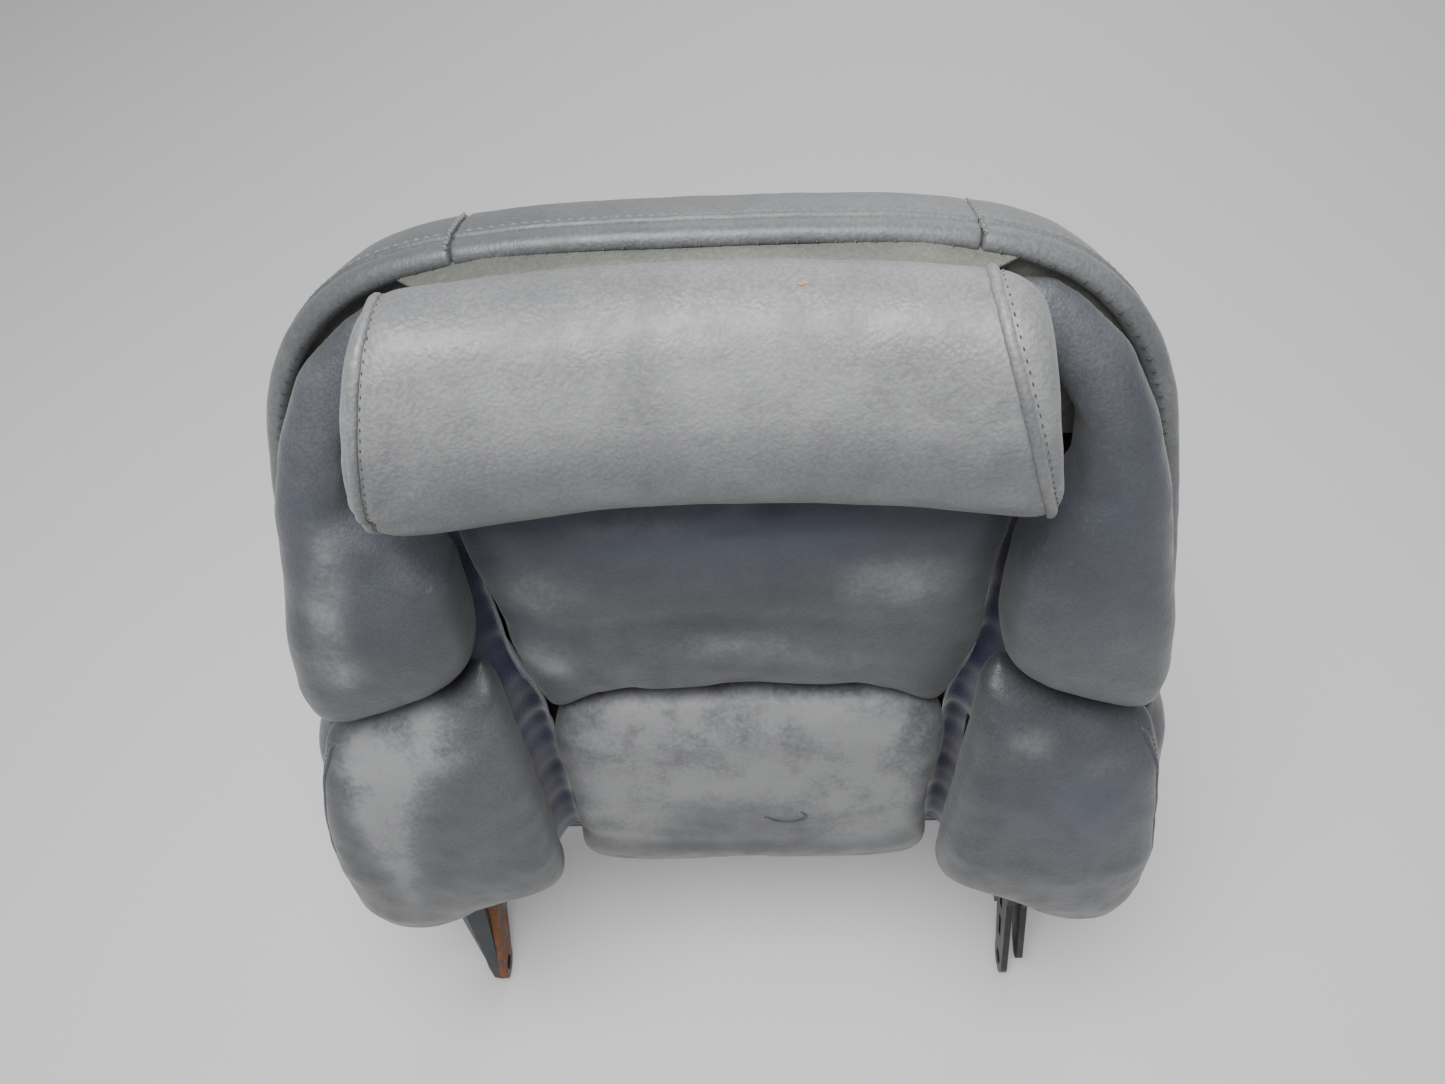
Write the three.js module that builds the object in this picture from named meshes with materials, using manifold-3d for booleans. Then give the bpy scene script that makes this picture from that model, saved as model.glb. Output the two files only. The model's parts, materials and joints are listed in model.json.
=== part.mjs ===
// The backrest of a reclining sports seat: a steel tube frame in a leather-covered shell, with a
// headrest roll that tilts, two lower side bolsters that swing in together and a lumbar cushion
// that slides forward. Two cranked steel arms reach down to the recliner's hinge line.
//
// Units are millimetres. +X is the sitter's right-to-left direction seen from the front, +Z is up
// and the front of the seat faces -Y. The origin lies on the recliner's hinge line, midway between
// the arms. Everything is built upright in the group named back, whose y = 0 plane holds the
// middle of the frame tubes, and that group then leans back on the hinge line.

import * as THREE from "three";
import { mergeVertices } from "three/addons/utils/BufferGeometryUtils.js";
import Module from "manifold-3d";

const wasm = await Module();
wasm.setup();

// ---- driving dimensions -------------------------------------------------------------------

const LEAN_DEG = 9; // how far the back leans from upright
const HINGE_Y = -29; // hinge line in the back's own coordinates
const HINGE_Z = 9;
const GAP = 0.3; // room left between touching pieces
const RUNNING = 0.08; // radial room of a pin that turns in its hole
const HOLE_SIDES = 16;

// Edge of the whole backrest seen from the front: height and half width, from the bottom corner up.
const BACK_EDGE = [
  [118, 206],
  [140, 240],
  [200, 262],
  [280, 264],
  [350, 255],
  [380, 249],
  [450, 240],
  [517, 227],
  [571, 214],
  [617, 200],
  [655, 177],
  [681, 142],
  [693, 88],
  [696, 0],
];
const NOTCH_Z = 380; // where the wing ends and the lower bolster's own edge begins
const SEAM_LEFT_X = -102; // cross seams of the rim strip
const SEAM_RIGHT_X = 110;
const RIM_FRONT_Y = -17;
const RIM_REAR_Y = 21;
const RIM_REAR_INSET = 8; // the rim draws in towards its rear edge
const RIM_THICKNESS = 3.5;
const RIM_FOOT_Z = 138;
const PIPING_R = 3.5;

const SHELL_THICKNESS = 3;
const SHELL_INSET = 0.6;
const SHELL_BOTTOM_Z = 152;

const TUBE_R = 11; // frame tube
const HOOP_FOOT_Z = 236;
const HOOP_TOP_Z = 655;
const HOOP_HALF_FOOT = 176;
const HOOP_HALF_TOP = 138;
const HOOP_CORNER_R = 62;

const SIDE_PLATE_X = 190; // inner face of the pressed side plates
const SIDE_PLATE_T = 3;
const ARM_T = 5;
const ARM_INNER_X = SIDE_PLATE_X + SIDE_PLATE_T + GAP + 9; // inner face of the hinge arms
const ARM_EYE_R = 13;
const ARM_EYE_HOLE_R = 6.2;
const ARM_KNEE_Y = -2;
const ARM_KNEE_Z = 62;
const ARM_TOP_Z = 196;
const BOLT_R = 4;
const BOLT_HEIGHTS = [112, 176];

const CROSS_TUBE_R = 9;
const LOWER_CROSS_Y = 8;
const LOWER_CROSS_Z = 192;
const UPPER_CROSS_Z = 560;

const MAT_Y = 5; // plane of the suspension mat's wires
const MAT_WIRE_R = 1.8;
const MAT_HALF_WIDTH = 92;
const MAT_HEIGHTS = [212, 270, 328, 386, 444, 502];
const SPRING_Y = 8.5;
const SPRING_R = 4.5;
const SPRING_TURNS = 6;

const LINING_FRONT_Y = -13.8;
const LINING_THICKNESS = 2.2;
const LINING_BOTTOM_Z = 576;

// The headrest roll: half height and half depth of its section, its middle, and its half length
// at the bottom and the top. Its ends stand further forward than its middle.
const ROLL_HALF_DEPTH = 36;
const ROLL_HALF_HEIGHT = 56;
const ROLL_Y = -55.5;
const ROLL_Z = 647;
const ROLL_HALF_BOTTOM = 151;
const ROLL_HALF_TOP = 126;
const ROLL_X = -3;
const ROLL_BOW = 15;
const ROLL_POWER = 2.3; // squareness of the section, 2 being an ellipse
const TILT_Y = -1; // the headrest's pivot
const TILT_Z = 604;
const TILT_PIN_R = 4;
const TILT_EAR_X = 62;
const CORE_T = 3;

const INSERT_X = 6; // the middle cushions sit this far to the right
const SEAT_REAR_Y = 0; // rear face of the middle cushions
const INSERT_TOP_Z = 570;
const INSERT_SEAM_Z = 402; // bottom of the upper cushion and top of the lumbar cushion
const INSERT_BOTTOM_Z = 197;
const LUMBAR_PLATE_T = 2;

const BOLSTER_PIVOT_X = 146; // upright hinge of each lower bolster
const BOLSTER_PIVOT_Y = -20;
const BOLSTER_PIN_R = 3;
const BOLSTER_REAR_Y = -30;

// ---- helpers --------------------------------------------------------------------------------

// Corner radius of a hole whose flat sides stand clear of a round pin.
const holeFor = (pinR) => (pinR + RUNNING) / Math.cos(Math.PI / HOLE_SIDES);

const back = new THREE.Group();
back.rotation.x = -THREE.MathUtils.degToRad(LEAN_DEG);
const lift = new THREE.Vector3(0, HINGE_Y, HINGE_Z).applyEuler(back.rotation);
back.position.copy(lift).negate();

const finishes = {
  leather: { color: 0x5d6164, roughness: 0.55, metalness: 0 },
  leatherDark: { color: 0x4a4e52, roughness: 0.6, metalness: 0 },
  cloth: { color: 0x56557f, roughness: 0.95, metalness: 0 },
  blackSteel: { color: 0x1e1f21, roughness: 0.5, metalness: 0.6 },
  rustySteel: { color: 0x6b4632, roughness: 0.8, metalness: 0.5 },
  zincSteel: { color: 0xa6a8a5, roughness: 0.35, metalness: 0.9 },
  springSteel: { color: 0x55585a, roughness: 0.4, metalness: 0.9 },
  plastic: { color: 0x2f3235, roughness: 0.6, metalness: 0 },
  shellPlastic: { color: 0x35383b, roughness: 0.7, metalness: 0 },
};

function addPart(name, geometry, finish) {
  const mesh = new THREE.Mesh(geometry, new THREE.MeshStandardMaterial(finishes[finish]));
  mesh.name = name;
  back.add(mesh);
  return mesh;
}

// A closed three.js geometry as a manifold-3d solid, and back.
function solid(geometry) {
  const bare = geometry.index ? geometry.toNonIndexed() : geometry.clone();
  bare.deleteAttribute("normal");
  bare.deleteAttribute("uv");
  const merged = mergeVertices(bare, 1e-4);
  return new wasm.Manifold(
    new wasm.Mesh({
      numProp: 3,
      vertProperties: new Float32Array(merged.attributes.position.array),
      triVerts: new Uint32Array(merged.index.array),
    }),
  );
}

function geometryOf(manifold) {
  const mesh = manifold.getMesh();
  const geometry = new THREE.BufferGeometry();
  geometry.setAttribute("position", new THREE.BufferAttribute(mesh.vertProperties, 3));
  geometry.setIndex(new THREE.BufferAttribute(mesh.triVerts, 1));
  return geometry;
}

const join = (...geometries) => geometryOf(geometries.map(solid).reduce((a, b) => a.add(b)));

const cut = (geometry, ...tools) =>
  geometryOf(tools.map(solid).reduce((a, b) => a.subtract(b), solid(geometry)));

// Value at a height, read off a list of [height, value] rows.
function at(rows, z) {
  if (z <= rows[0][0]) return rows[0][1];
  for (let i = 1; i < rows.length; i++) {
    const [z0, a] = rows[i - 1];
    const [z1, b] = rows[i];
    if (z <= z1) return a + ((b - a) * (z - z0)) / (z1 - z0);
  }
  return rows[rows.length - 1][1];
}

// A solid through rings of points that all have the same count. flat gives the two coordinates
// that the end faces are triangulated in.
function loft(rings, flat = (p) => new THREE.Vector2(p.x, p.y)) {
  const count = rings[0].length;
  const points = rings.flat();
  const faces = [];
  for (let r = 0; r + 1 < rings.length; r++) {
    for (let i = 0; i < count; i++) {
      const j = (i + 1) % count;
      const a = r * count;
      const b = a + count;
      faces.push([a + i, a + j, b + j], [a + i, b + j, b + i]);
    }
  }
  const clockwise = THREE.ShapeUtils.isClockWise(rings[0].map(flat));
  const last = (rings.length - 1) * count;
  const capFaces = (ring, base, turned) => {
    for (const [a, b, c] of THREE.ShapeUtils.triangulateShape(ring.map(flat), [])) {
      faces.push(turned ? [base + c, base + b, base + a] : [base + a, base + b, base + c]);
    }
  };
  capFaces(rings[0], 0, !clockwise);
  capFaces(rings[rings.length - 1], last, clockwise);
  const geometry = new THREE.BufferGeometry().setFromPoints(points);
  geometry.setIndex(faces.flat());
  return solid(geometry).volume() < 0 ? flipped(geometry) : geometry;
}

function flipped(geometry) {
  const index = geometry.index.array;
  for (let i = 0; i < index.length; i += 3) {
    [index[i + 1], index[i + 2]] = [index[i + 2], index[i + 1]];
  }
  return geometry;
}

// A rounded section in the x-y plane: power 2 is an ellipse, more is squarer.
function roundedRing(x0, x1, y0, y1, z, power, count = 18) {
  const ring = [];
  for (let i = 0; i < count; i++) {
    const angle = (2 * Math.PI * (i + 0.5)) / count;
    const c = Math.cos(angle);
    const s = Math.sin(angle);
    const px = Math.sign(c) * Math.abs(c) ** (2 / power);
    const py = Math.sign(s) * Math.abs(s) ** (2 / power);
    ring.push(
      new THREE.Vector3((x0 + x1) / 2 + (px * (x1 - x0)) / 2, (y0 + y1) / 2 + (py * (y1 - y0)) / 2, z),
    );
  }
  return ring;
}

function sweep(path, radius, steps, halfSides = 4) {
  const section = new THREE.Shape();
  section.absarc(0, 0, radius, 0, 2 * Math.PI);
  return new THREE.ExtrudeGeometry(section, {
    steps,
    curveSegments: halfSides,
    bevelEnabled: false,
    extrudePath: path,
  });
}

const straight = (a, b) => new THREE.LineCurve3(new THREE.Vector3(...a), new THREE.Vector3(...b));

function box(x0, x1, y0, y1, z0, z1) {
  const geometry = new THREE.BoxGeometry(x1 - x0, y1 - y0, z1 - z0);
  return geometry.translate((x0 + x1) / 2, (y0 + y1) / 2, (z0 + z1) / 2);
}

// A round bar along X between two places.
function crossBar(x0, x1, y, z, radius, sides = 16) {
  const bar = new THREE.CylinderGeometry(radius, radius, x1 - x0, sides);
  return bar.rotateZ(Math.PI / 2).translate((x0 + x1) / 2, y, z);
}

// A plate in a plane of constant x, cut from an outline in y and z.
function platePanel(shape, x, thickness, curveSegments = 8) {
  const plate = new THREE.ExtrudeGeometry(shape, {
    depth: thickness,
    bevelEnabled: false,
    curveSegments,
  });
  const upright = new THREE.Matrix4().makeBasis(
    new THREE.Vector3(0, 1, 0),
    new THREE.Vector3(0, 0, 1),
    new THREE.Vector3(1, 0, 0),
  );
  return plate.applyMatrix4(upright).translate(x, 0, 0);
}

function mirrored(geometry) {
  const copy = geometry.index ? geometry.clone() : mergeVertices(geometry);
  copy.applyMatrix4(new THREE.Matrix4().makeScale(-1, 1, 1));
  return flipped(copy);
}

// The same piece on both sides, built for the right-hand (+X) side.
function addPair(name, geometry, finish) {
  addPart(`right_${name}`, geometry, finish);
  addPart(`left_${name}`, mirrored(geometry), finish);
}

// The edge of the backrest as a curve in x and z, inset by a distance, from one end to the other.
const edgePoints = [
  ...BACK_EDGE.map(([z, x]) => new THREE.Vector2(-x, z)),
  ...BACK_EDGE.slice(0, -1)
    .reverse()
    .map(([z, x]) => new THREE.Vector2(x, z)),
];

function edge(inset, from = 0, to = edgePoints.length - 1) {
  const points = [];
  for (let i = from; i <= to; i++) {
    const before = edgePoints[Math.max(i - 1, 0)];
    const after = edgePoints[Math.min(i + 1, edgePoints.length - 1)];
    const along = after.clone().sub(before).normalize();
    const inward = new THREE.Vector2(along.y, -along.x);
    points.push(edgePoints[i].clone().addScaledVector(inward, inset));
  }
  return points;
}

// ---- steel frame ----------------------------------------------------------------------------

function frameHoop() {
  const path = new THREE.CurvePath();
  const corner = (sign) => {
    const leg = new THREE.Vector3(sign * HOOP_HALF_TOP, 0, HOOP_TOP_Z - HOOP_CORNER_R);
    const tip = new THREE.Vector3(sign * HOOP_HALF_TOP, 0, HOOP_TOP_Z);
    const top = new THREE.Vector3(sign * (HOOP_HALF_TOP - HOOP_CORNER_R), 0, HOOP_TOP_Z);
    return [leg, tip, top];
  };
  const [legL, tipL, topL] = corner(-1);
  const [legR, tipR, topR] = corner(1);
  const foot = (sign) => new THREE.Vector3(sign * HOOP_HALF_FOOT, 0, HOOP_FOOT_Z);
  path.add(new THREE.LineCurve3(foot(-1), legL));
  path.add(new THREE.QuadraticBezierCurve3(legL, tipL, topL));
  path.add(new THREE.LineCurve3(topL, topR));
  path.add(new THREE.QuadraticBezierCurve3(topR, tipR, legR));
  path.add(new THREE.LineCurve3(legR, foot(1)));
  return sweep(path, TUBE_R, 48, 5);
}

function sidePlate() {
  const outline = new THREE.Shape();
  outline.moveTo(-20, 92);
  outline.lineTo(15, 92);
  outline.lineTo(16, 300);
  outline.quadraticCurveTo(16, 322, 0, 322);
  outline.quadraticCurveTo(-12, 322, -14, 300);
  outline.lineTo(-22, 190);
  outline.closePath();
  for (const z of BOLT_HEIGHTS) {
    const hole = new THREE.Path();
    hole.absarc(-2, z, holeFor(BOLT_R), 0, 2 * Math.PI, true);
    outline.holes.push(hole);
  }
  const lightening = new THREE.Path();
  lightening.absarc(1, 240, 9, 0, 2 * Math.PI, true);
  outline.holes.push(lightening);
  return platePanel(outline, SIDE_PLATE_X, SIDE_PLATE_T);
}

addPart("frame_hoop", frameHoop(), "blackSteel");
addPair("side_plate", sidePlate(), "blackSteel");
addPart(
  "lower_cross_member",
  crossBar(-SIDE_PLATE_X + GAP, SIDE_PLATE_X - GAP, LOWER_CROSS_Y, LOWER_CROSS_Z, CROSS_TUBE_R),
  "blackSteel",
);

// ---- hinge arms -----------------------------------------------------------------------------

// The arm's outline in y and z: an eye on the hinge line, a cranked leg and a straight upper part.
function armOutline(halfEye, halfTop, topZ) {
  const outline = new THREE.Shape();
  const slant = Math.atan2(ARM_KNEE_Y - HINGE_Y, ARM_KNEE_Z - HINGE_Z);
  const front = Math.PI - slant;
  outline.absarc(HINGE_Y, HINGE_Z, halfEye, front, 2 * Math.PI - slant + 0.35, false);
  outline.lineTo(ARM_KNEE_Y + halfTop, ARM_KNEE_Z - 6);
  outline.lineTo(ARM_KNEE_Y + halfTop, topZ - 8);
  outline.lineTo(ARM_KNEE_Y + halfTop - 8, topZ);
  outline.lineTo(ARM_KNEE_Y - halfTop + 8, topZ);
  outline.lineTo(ARM_KNEE_Y - halfTop, topZ - 8);
  outline.lineTo(ARM_KNEE_Y - halfTop, ARM_KNEE_Z + 14);
  outline.closePath();
  const eye = new THREE.Path();
  eye.absarc(HINGE_Y, HINGE_Z, ARM_EYE_HOLE_R, 0, 2 * Math.PI, true);
  outline.holes.push(eye);
  for (const z of BOLT_HEIGHTS) {
    const hole = new THREE.Path();
    hole.absarc(ARM_KNEE_Y, z, holeFor(BOLT_R), 0, 2 * Math.PI, true);
    outline.holes.push(hole);
  }
  return outline;
}

// A hex-headed bolt along X with its nut, from the arm's outer face to the side plate's inner one.
function armBolt(z, outerX) {
  const head = new THREE.CylinderGeometry(7, 7, 5, 6).rotateZ(Math.PI / 2);
  head.translate(outerX + 2.5 + GAP, ARM_KNEE_Y, z);
  const nut = new THREE.CylinderGeometry(7, 7, 6, 6).rotateZ(Math.PI / 2);
  nut.translate(SIDE_PLATE_X - 3 - GAP, ARM_KNEE_Y, z);
  const shank = crossBar(SIDE_PLATE_X - 5, outerX + 2, ARM_KNEE_Y, z, BOLT_R, 12);
  return join(shank, head, nut);
}

// A distance tube between the side plate and the arm.
function armSpacer(z) {
  const x0 = SIDE_PLATE_X + SIDE_PLATE_T + GAP;
  const x1 = ARM_INNER_X - GAP;
  const outer = crossBar(x0, x1, ARM_KNEE_Y, z, 8, 12);
  const bore = crossBar(x0 - 1, x1 + 1, ARM_KNEE_Y, z, holeFor(BOLT_R), HOLE_SIDES);
  return cut(outer, bore);
}

const armOuterX = ARM_INNER_X + ARM_T;
const arm = platePanel(armOutline(ARM_EYE_R, 15, ARM_TOP_Z), ARM_INNER_X, ARM_T);
addPart("left_hinge_arm", mirrored(arm), "rustySteel");

// The right arm is lightened by two long slots down its leg.
function armSlot(centre) {
  const slant = Math.atan2(ARM_KNEE_Y - HINGE_Y, ARM_KNEE_Z - HINGE_Z);
  const slot = box(ARM_INNER_X - 1, armOuterX + 1, -3.5, 3.5, -9, 9);
  slot.translate(-(ARM_INNER_X + armOuterX) / 2, 0, 0).rotateX(-slant);
  const y = HINGE_Y + (ARM_KNEE_Y - HINGE_Y) * centre;
  const z = HINGE_Z + (ARM_KNEE_Z - HINGE_Z) * centre;
  return slot.translate((ARM_INNER_X + armOuterX) / 2, y, z);
}
addPart("right_hinge_arm", cut(arm, armSlot(0.52), armSlot(0.98)), "blackSteel");

// A shorter second plate stands outside the right arm and takes the recliner's catch.
const guideX = armOuterX + 6;
const guideOutline = new THREE.Shape();
guideOutline.moveTo(-38, 26);
guideOutline.quadraticCurveTo(-36, 18, -28, 19);
guideOutline.lineTo(-18, 24);
guideOutline.lineTo(14, 58);
guideOutline.lineTo(14, 188);
guideOutline.lineTo(-18, 188);
guideOutline.lineTo(-18, 74);
guideOutline.closePath();
for (const z of BOLT_HEIGHTS) {
  const hole = new THREE.Path();
  hole.absarc(ARM_KNEE_Y, z, holeFor(BOLT_R), 0, 2 * Math.PI, true);
  guideOutline.holes.push(hole);
}
addPart("right_guide_plate", platePanel(guideOutline, guideX, 5), "blackSteel");

// The left arm wears a tapered moulded cover on its outer side.
function armCover() {
  const levels = [
    [HINGE_Z - 9, HINGE_Y, 11, 13],
    [HINGE_Z + 8, HINGE_Y + 5, 14, 15],
    [ARM_KNEE_Z - 8, ARM_KNEE_Y - 9, 17, 26],
    [ARM_KNEE_Z + 30, ARM_KNEE_Y, 19, 32],
    [ARM_KNEE_Z + 40, ARM_KNEE_Y, 18, 33],
  ];
  const rings = levels.map(([z, y, half, wide]) => {
    const x = armOuterX + GAP;
    return [
      new THREE.Vector3(x, y - half, z),
      new THREE.Vector3(x + wide * 0.55, y - half + 1.5, z),
      new THREE.Vector3(x + wide, y - 2, z),
      new THREE.Vector3(x + wide, y + half * 0.5, z),
      new THREE.Vector3(x + wide * 0.7, y + half, z),
      new THREE.Vector3(x, y + half, z),
    ];
  });
  return loft(rings);
}
addPart("left_arm_cover", mirrored(armCover()), "plastic");

for (const [index, z] of BOLT_HEIGHTS.entries()) {
  const place = index === 0 ? "lower" : "upper";
  addPart(`right_arm_bolt_${place}`, armBolt(z, guideX + 5), "zincSteel");
  addPart(`left_arm_bolt_${place}`, mirrored(armBolt(z, armOuterX)), "zincSteel");
  addPair(`arm_spacer_${place}`, armSpacer(z), "zincSteel");
}

// ---- suspension -----------------------------------------------------------------------------

// Two upright wires with cross wires welded to them, carried by hooked springs.
function suspensionMat() {
  const z0 = MAT_HEIGHTS[0] - 8;
  const z1 = MAT_HEIGHTS[MAT_HEIGHTS.length - 1] + 8;
  const wires = [];
  for (const x of [-MAT_HALF_WIDTH + 12, 0, MAT_HALF_WIDTH - 12]) {
    wires.push(sweep(straight([x, MAT_Y, z0], [x, MAT_Y, z1]), MAT_WIRE_R, 1, 3));
  }
  for (const z of MAT_HEIGHTS) {
    const y = MAT_Y + MAT_WIRE_R;
    const ends = straight([-MAT_HALF_WIDTH, y, z], [MAT_HALF_WIDTH, y, z]);
    wires.push(sweep(ends, MAT_WIRE_R, 1, 3));
  }
  return join(...wires);
}

class Helix extends THREE.Curve {
  constructor(x0, x1, y, z, radius, turns) {
    super();
    Object.assign(this, { x0, x1, y, z, radius, turns });
  }
  getPoint(t, target = new THREE.Vector3()) {
    const angle = 2 * Math.PI * this.turns * t;
    return target.set(
      this.x0 + (this.x1 - this.x0) * t,
      this.y + this.radius * Math.cos(angle),
      this.z + this.radius * Math.sin(angle),
    );
  }
}

addPart("suspension_mat", suspensionMat(), "springSteel");
for (const [index, z] of [MAT_HEIGHTS[1], MAT_HEIGHTS[4]].entries()) {
  const climb = (z - HOOP_FOOT_Z) / (HOOP_TOP_Z - HOOP_CORNER_R - HOOP_FOOT_Z);
  const hoopX = HOOP_HALF_FOOT - (HOOP_HALF_FOOT - HOOP_HALF_TOP) * climb;
  const reach = hoopX - TUBE_R - 3;
  const spring = new Helix(MAT_HALF_WIDTH + 2, reach, SPRING_Y, z, SPRING_R, SPRING_TURNS);
  addPair(`mat_spring_${index + 1}`, sweep(spring, 1, 54, 3), "springSteel");
}

// ---- rear shell and rim ---------------------------------------------------------------------

// A panel cut to an outline in x and z, from its front face to its rear one.
function panel(points, yFront, yRear) {
  const geometry = new THREE.ExtrudeGeometry(new THREE.Shape(points), {
    depth: yRear - yFront,
    bevelEnabled: false,
  });
  return geometry.rotateX(Math.PI / 2).translate(0, yRear, 0);
}

const SHELL_REAR_Y = RIM_REAR_Y - 0.5;
const shellFront = SHELL_REAR_Y - SHELL_THICKNESS;
const shellEdge = edge(RIM_THICKNESS + RIM_REAR_INSET + SHELL_INSET);
const screwPlaces = [
  [150, 232],
  [150, 520],
];
// A short cylinder along Y, centred on a place.
function pegAlongY(radius, length, x, y, z, sides = 12) {
  return new THREE.CylinderGeometry(radius, radius, length, sides).translate(x, y, z);
}

const shellDrill = (x, z) => pegAlongY(2.6, 12, x, SHELL_REAR_Y, z);
const shellBlank = panel(shellEdge, shellFront, SHELL_REAR_Y);
const shellDrills = screwPlaces.flatMap(([x, z]) => [shellDrill(-x, z), shellDrill(x, z)]);
const belowShell = box(-300, 300, 0, 40, 0, SHELL_BOTTOM_Z);
addPart("rear_shell", cut(shellBlank, belowShell, ...shellDrills), "shellPlastic");

// A pan-headed screw through the shell.
function shellScrew(x, z) {
  const headY = SHELL_REAR_Y + GAP + 1;
  const head = new THREE.CylinderGeometry(4.2, 5, 2, 12).translate(x, headY, z);
  return join(head, pegAlongY(2.2, 11, x, headY - 5.5, z, 8));
}
for (const [index, [x, z]] of screwPlaces.entries()) {
  const place = index === 0 ? "lower" : "upper";
  addPair(`shell_screw_${place}`, shellScrew(x, z), "zincSteel");
}

// The rim is one band around the edge, sewn from three strips that meet at the cross seams.
const bandRing = (y, inset) =>
  [...edge(inset), ...edge(inset + RIM_THICKNESS).reverse()].map(
    (p) => new THREE.Vector3(p.x, y, p.y),
  );
const band = loft(
  [bandRing(RIM_FRONT_Y, 0), bandRing(2, 1), bandRing(RIM_REAR_Y, RIM_REAR_INSET)],
  (p) => new THREE.Vector2(p.x, p.z),
);
const strip = (x0, x1, z0) => geometryOf(solid(band).intersect(solid(box(x0, x1, -60, 60, z0, 760))));
addPart("left_rim_strip", strip(-320, SEAM_LEFT_X - GAP / 2, RIM_FOOT_Z), "leather");
addPart("top_rim_strip", strip(SEAM_LEFT_X + GAP / 2, SEAM_RIGHT_X - GAP / 2, 600), "leather");
addPart("right_rim_strip", strip(SEAM_RIGHT_X + GAP / 2, 320, RIM_FOOT_Z), "leather");

// Piping along the front of the rim, from notch to notch.
const firstAbove = BACK_EDGE.findIndex(([z]) => z >= NOTCH_Z);
const pipingRoute = edge(PIPING_R, firstAbove, edgePoints.length - 1 - firstAbove).map(
  ({ x, y }) => new THREE.Vector3(x, RIM_FRONT_Y - GAP - PIPING_R, y),
);
const pipingPath = new THREE.CatmullRomCurve3(pipingRoute, false, "catmullrom", 0.5);
addPart("rim_piping", sweep(pipingPath, PIPING_R, 44), "leather");

// The leather lining behind the headrest, with a slot for each of the headrest's ears.
const liningEdge = edge(RIM_THICKNESS + 1).filter(({ y }) => y > LINING_BOTTOM_Z);
const liningCorner = at(BACK_EDGE, LINING_BOTTOM_Z) - RIM_THICKNESS - 1.5;
const liningOutline = [
  new THREE.Vector2(-liningCorner, LINING_BOTTOM_Z),
  ...liningEdge,
  new THREE.Vector2(liningCorner, LINING_BOTTOM_Z),
];
const liningRear = LINING_FRONT_Y + LINING_THICKNESS;
const earSlots = [-TILT_EAR_X, TILT_EAR_X].map((x) =>
  box(x - 5, x + 5, LINING_FRONT_Y - 5, liningRear + 5, TILT_Z - 20, TILT_Z + 22),
);
const liningBlank = panel(liningOutline, LINING_FRONT_Y, liningRear);
addPart("front_lining", cut(liningBlank, ...earSlots), "leather");

// ---- headrest -------------------------------------------------------------------------------

const upperCross = crossBar(-128, 128, 0, UPPER_CROSS_Z, CROSS_TUBE_R);
addPart("upper_cross_member", upperCross, "blackSteel");

// Two upright cheeks on a strap that is welded across the front of the cross member.
function headrestBracket() {
  const cheekX = TILT_EAR_X + CORE_T / 2 + 1.6;
  const strapFront = -CROSS_TUBE_R - GAP - 2;
  const strap = box(-cheekX - 3, cheekX + 3, strapFront, -CROSS_TUBE_R - GAP, 550, 572);
  const cheek = new THREE.Shape();
  cheek.moveTo(strapFront, 550);
  cheek.lineTo(-CROSS_TUBE_R - GAP, 550);
  cheek.lineTo(-CROSS_TUBE_R - GAP, 571);
  cheek.lineTo(TILT_Y + 9, 580);
  cheek.absarc(TILT_Y, TILT_Z, 9, 0, Math.PI, false);
  cheek.lineTo(strapFront, 580);
  cheek.closePath();
  const hole = new THREE.Path();
  hole.absarc(TILT_Y, TILT_Z, holeFor(TILT_PIN_R), 0, 2 * Math.PI, true);
  cheek.holes.push(hole);
  const right = platePanel(cheek, cheekX, 3);
  return join(strap, right, mirrored(right));
}
addPart("headrest_bracket", headrestBracket(), "blackSteel");

// The steel core of the roll: a plate with two ears that reach back to the pivot.
const corePlateRear = ROLL_Y + ROLL_HALF_DEPTH - 2;
function headrestCore() {
  const plate = box(-88, 88, corePlateRear - CORE_T, corePlateRear, 618, 672);
  const ear = new THREE.Shape();
  ear.moveTo(corePlateRear - 1, 622);
  ear.lineTo(corePlateRear - 1, 604);
  ear.lineTo(TILT_Y, TILT_Z - 8);
  ear.absarc(TILT_Y, TILT_Z, 8, -Math.PI / 2, Math.PI / 2, false);
  ear.lineTo(-12, 616);
  ear.lineTo(corePlateRear - 1 + 4, 634);
  ear.lineTo(corePlateRear - 1, 634);
  ear.closePath();
  const hole = new THREE.Path();
  hole.absarc(TILT_Y, TILT_Z, holeFor(TILT_PIN_R), 0, 2 * Math.PI, true);
  ear.holes.push(hole);
  const right = platePanel(ear, TILT_EAR_X - CORE_T / 2, CORE_T);
  return join(plate, right, mirrored(right));
}
addPart("headrest_core", headrestCore(), "blackSteel");

const pinX0 = TILT_EAR_X - CORE_T / 2 - 5;
const pinX1 = TILT_EAR_X + CORE_T / 2 + 1.6 + 3 + 3;
addPair("tilt_pin", crossBar(pinX0, pinX1, TILT_Y, TILT_Z, TILT_PIN_R, 20), "zincSteel");

const washerX0 = TILT_EAR_X + CORE_T / 2 + GAP;
const washerBore = crossBar(washerX0 - 1, washerX0 + 3, TILT_Y, TILT_Z, holeFor(TILT_PIN_R), HOLE_SIDES);
const washer = cut(crossBar(washerX0, washerX0 + 1, TILT_Y, TILT_Z, 8, 16), washerBore);
addPair("tilt_washer", washer, "plastic");

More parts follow.
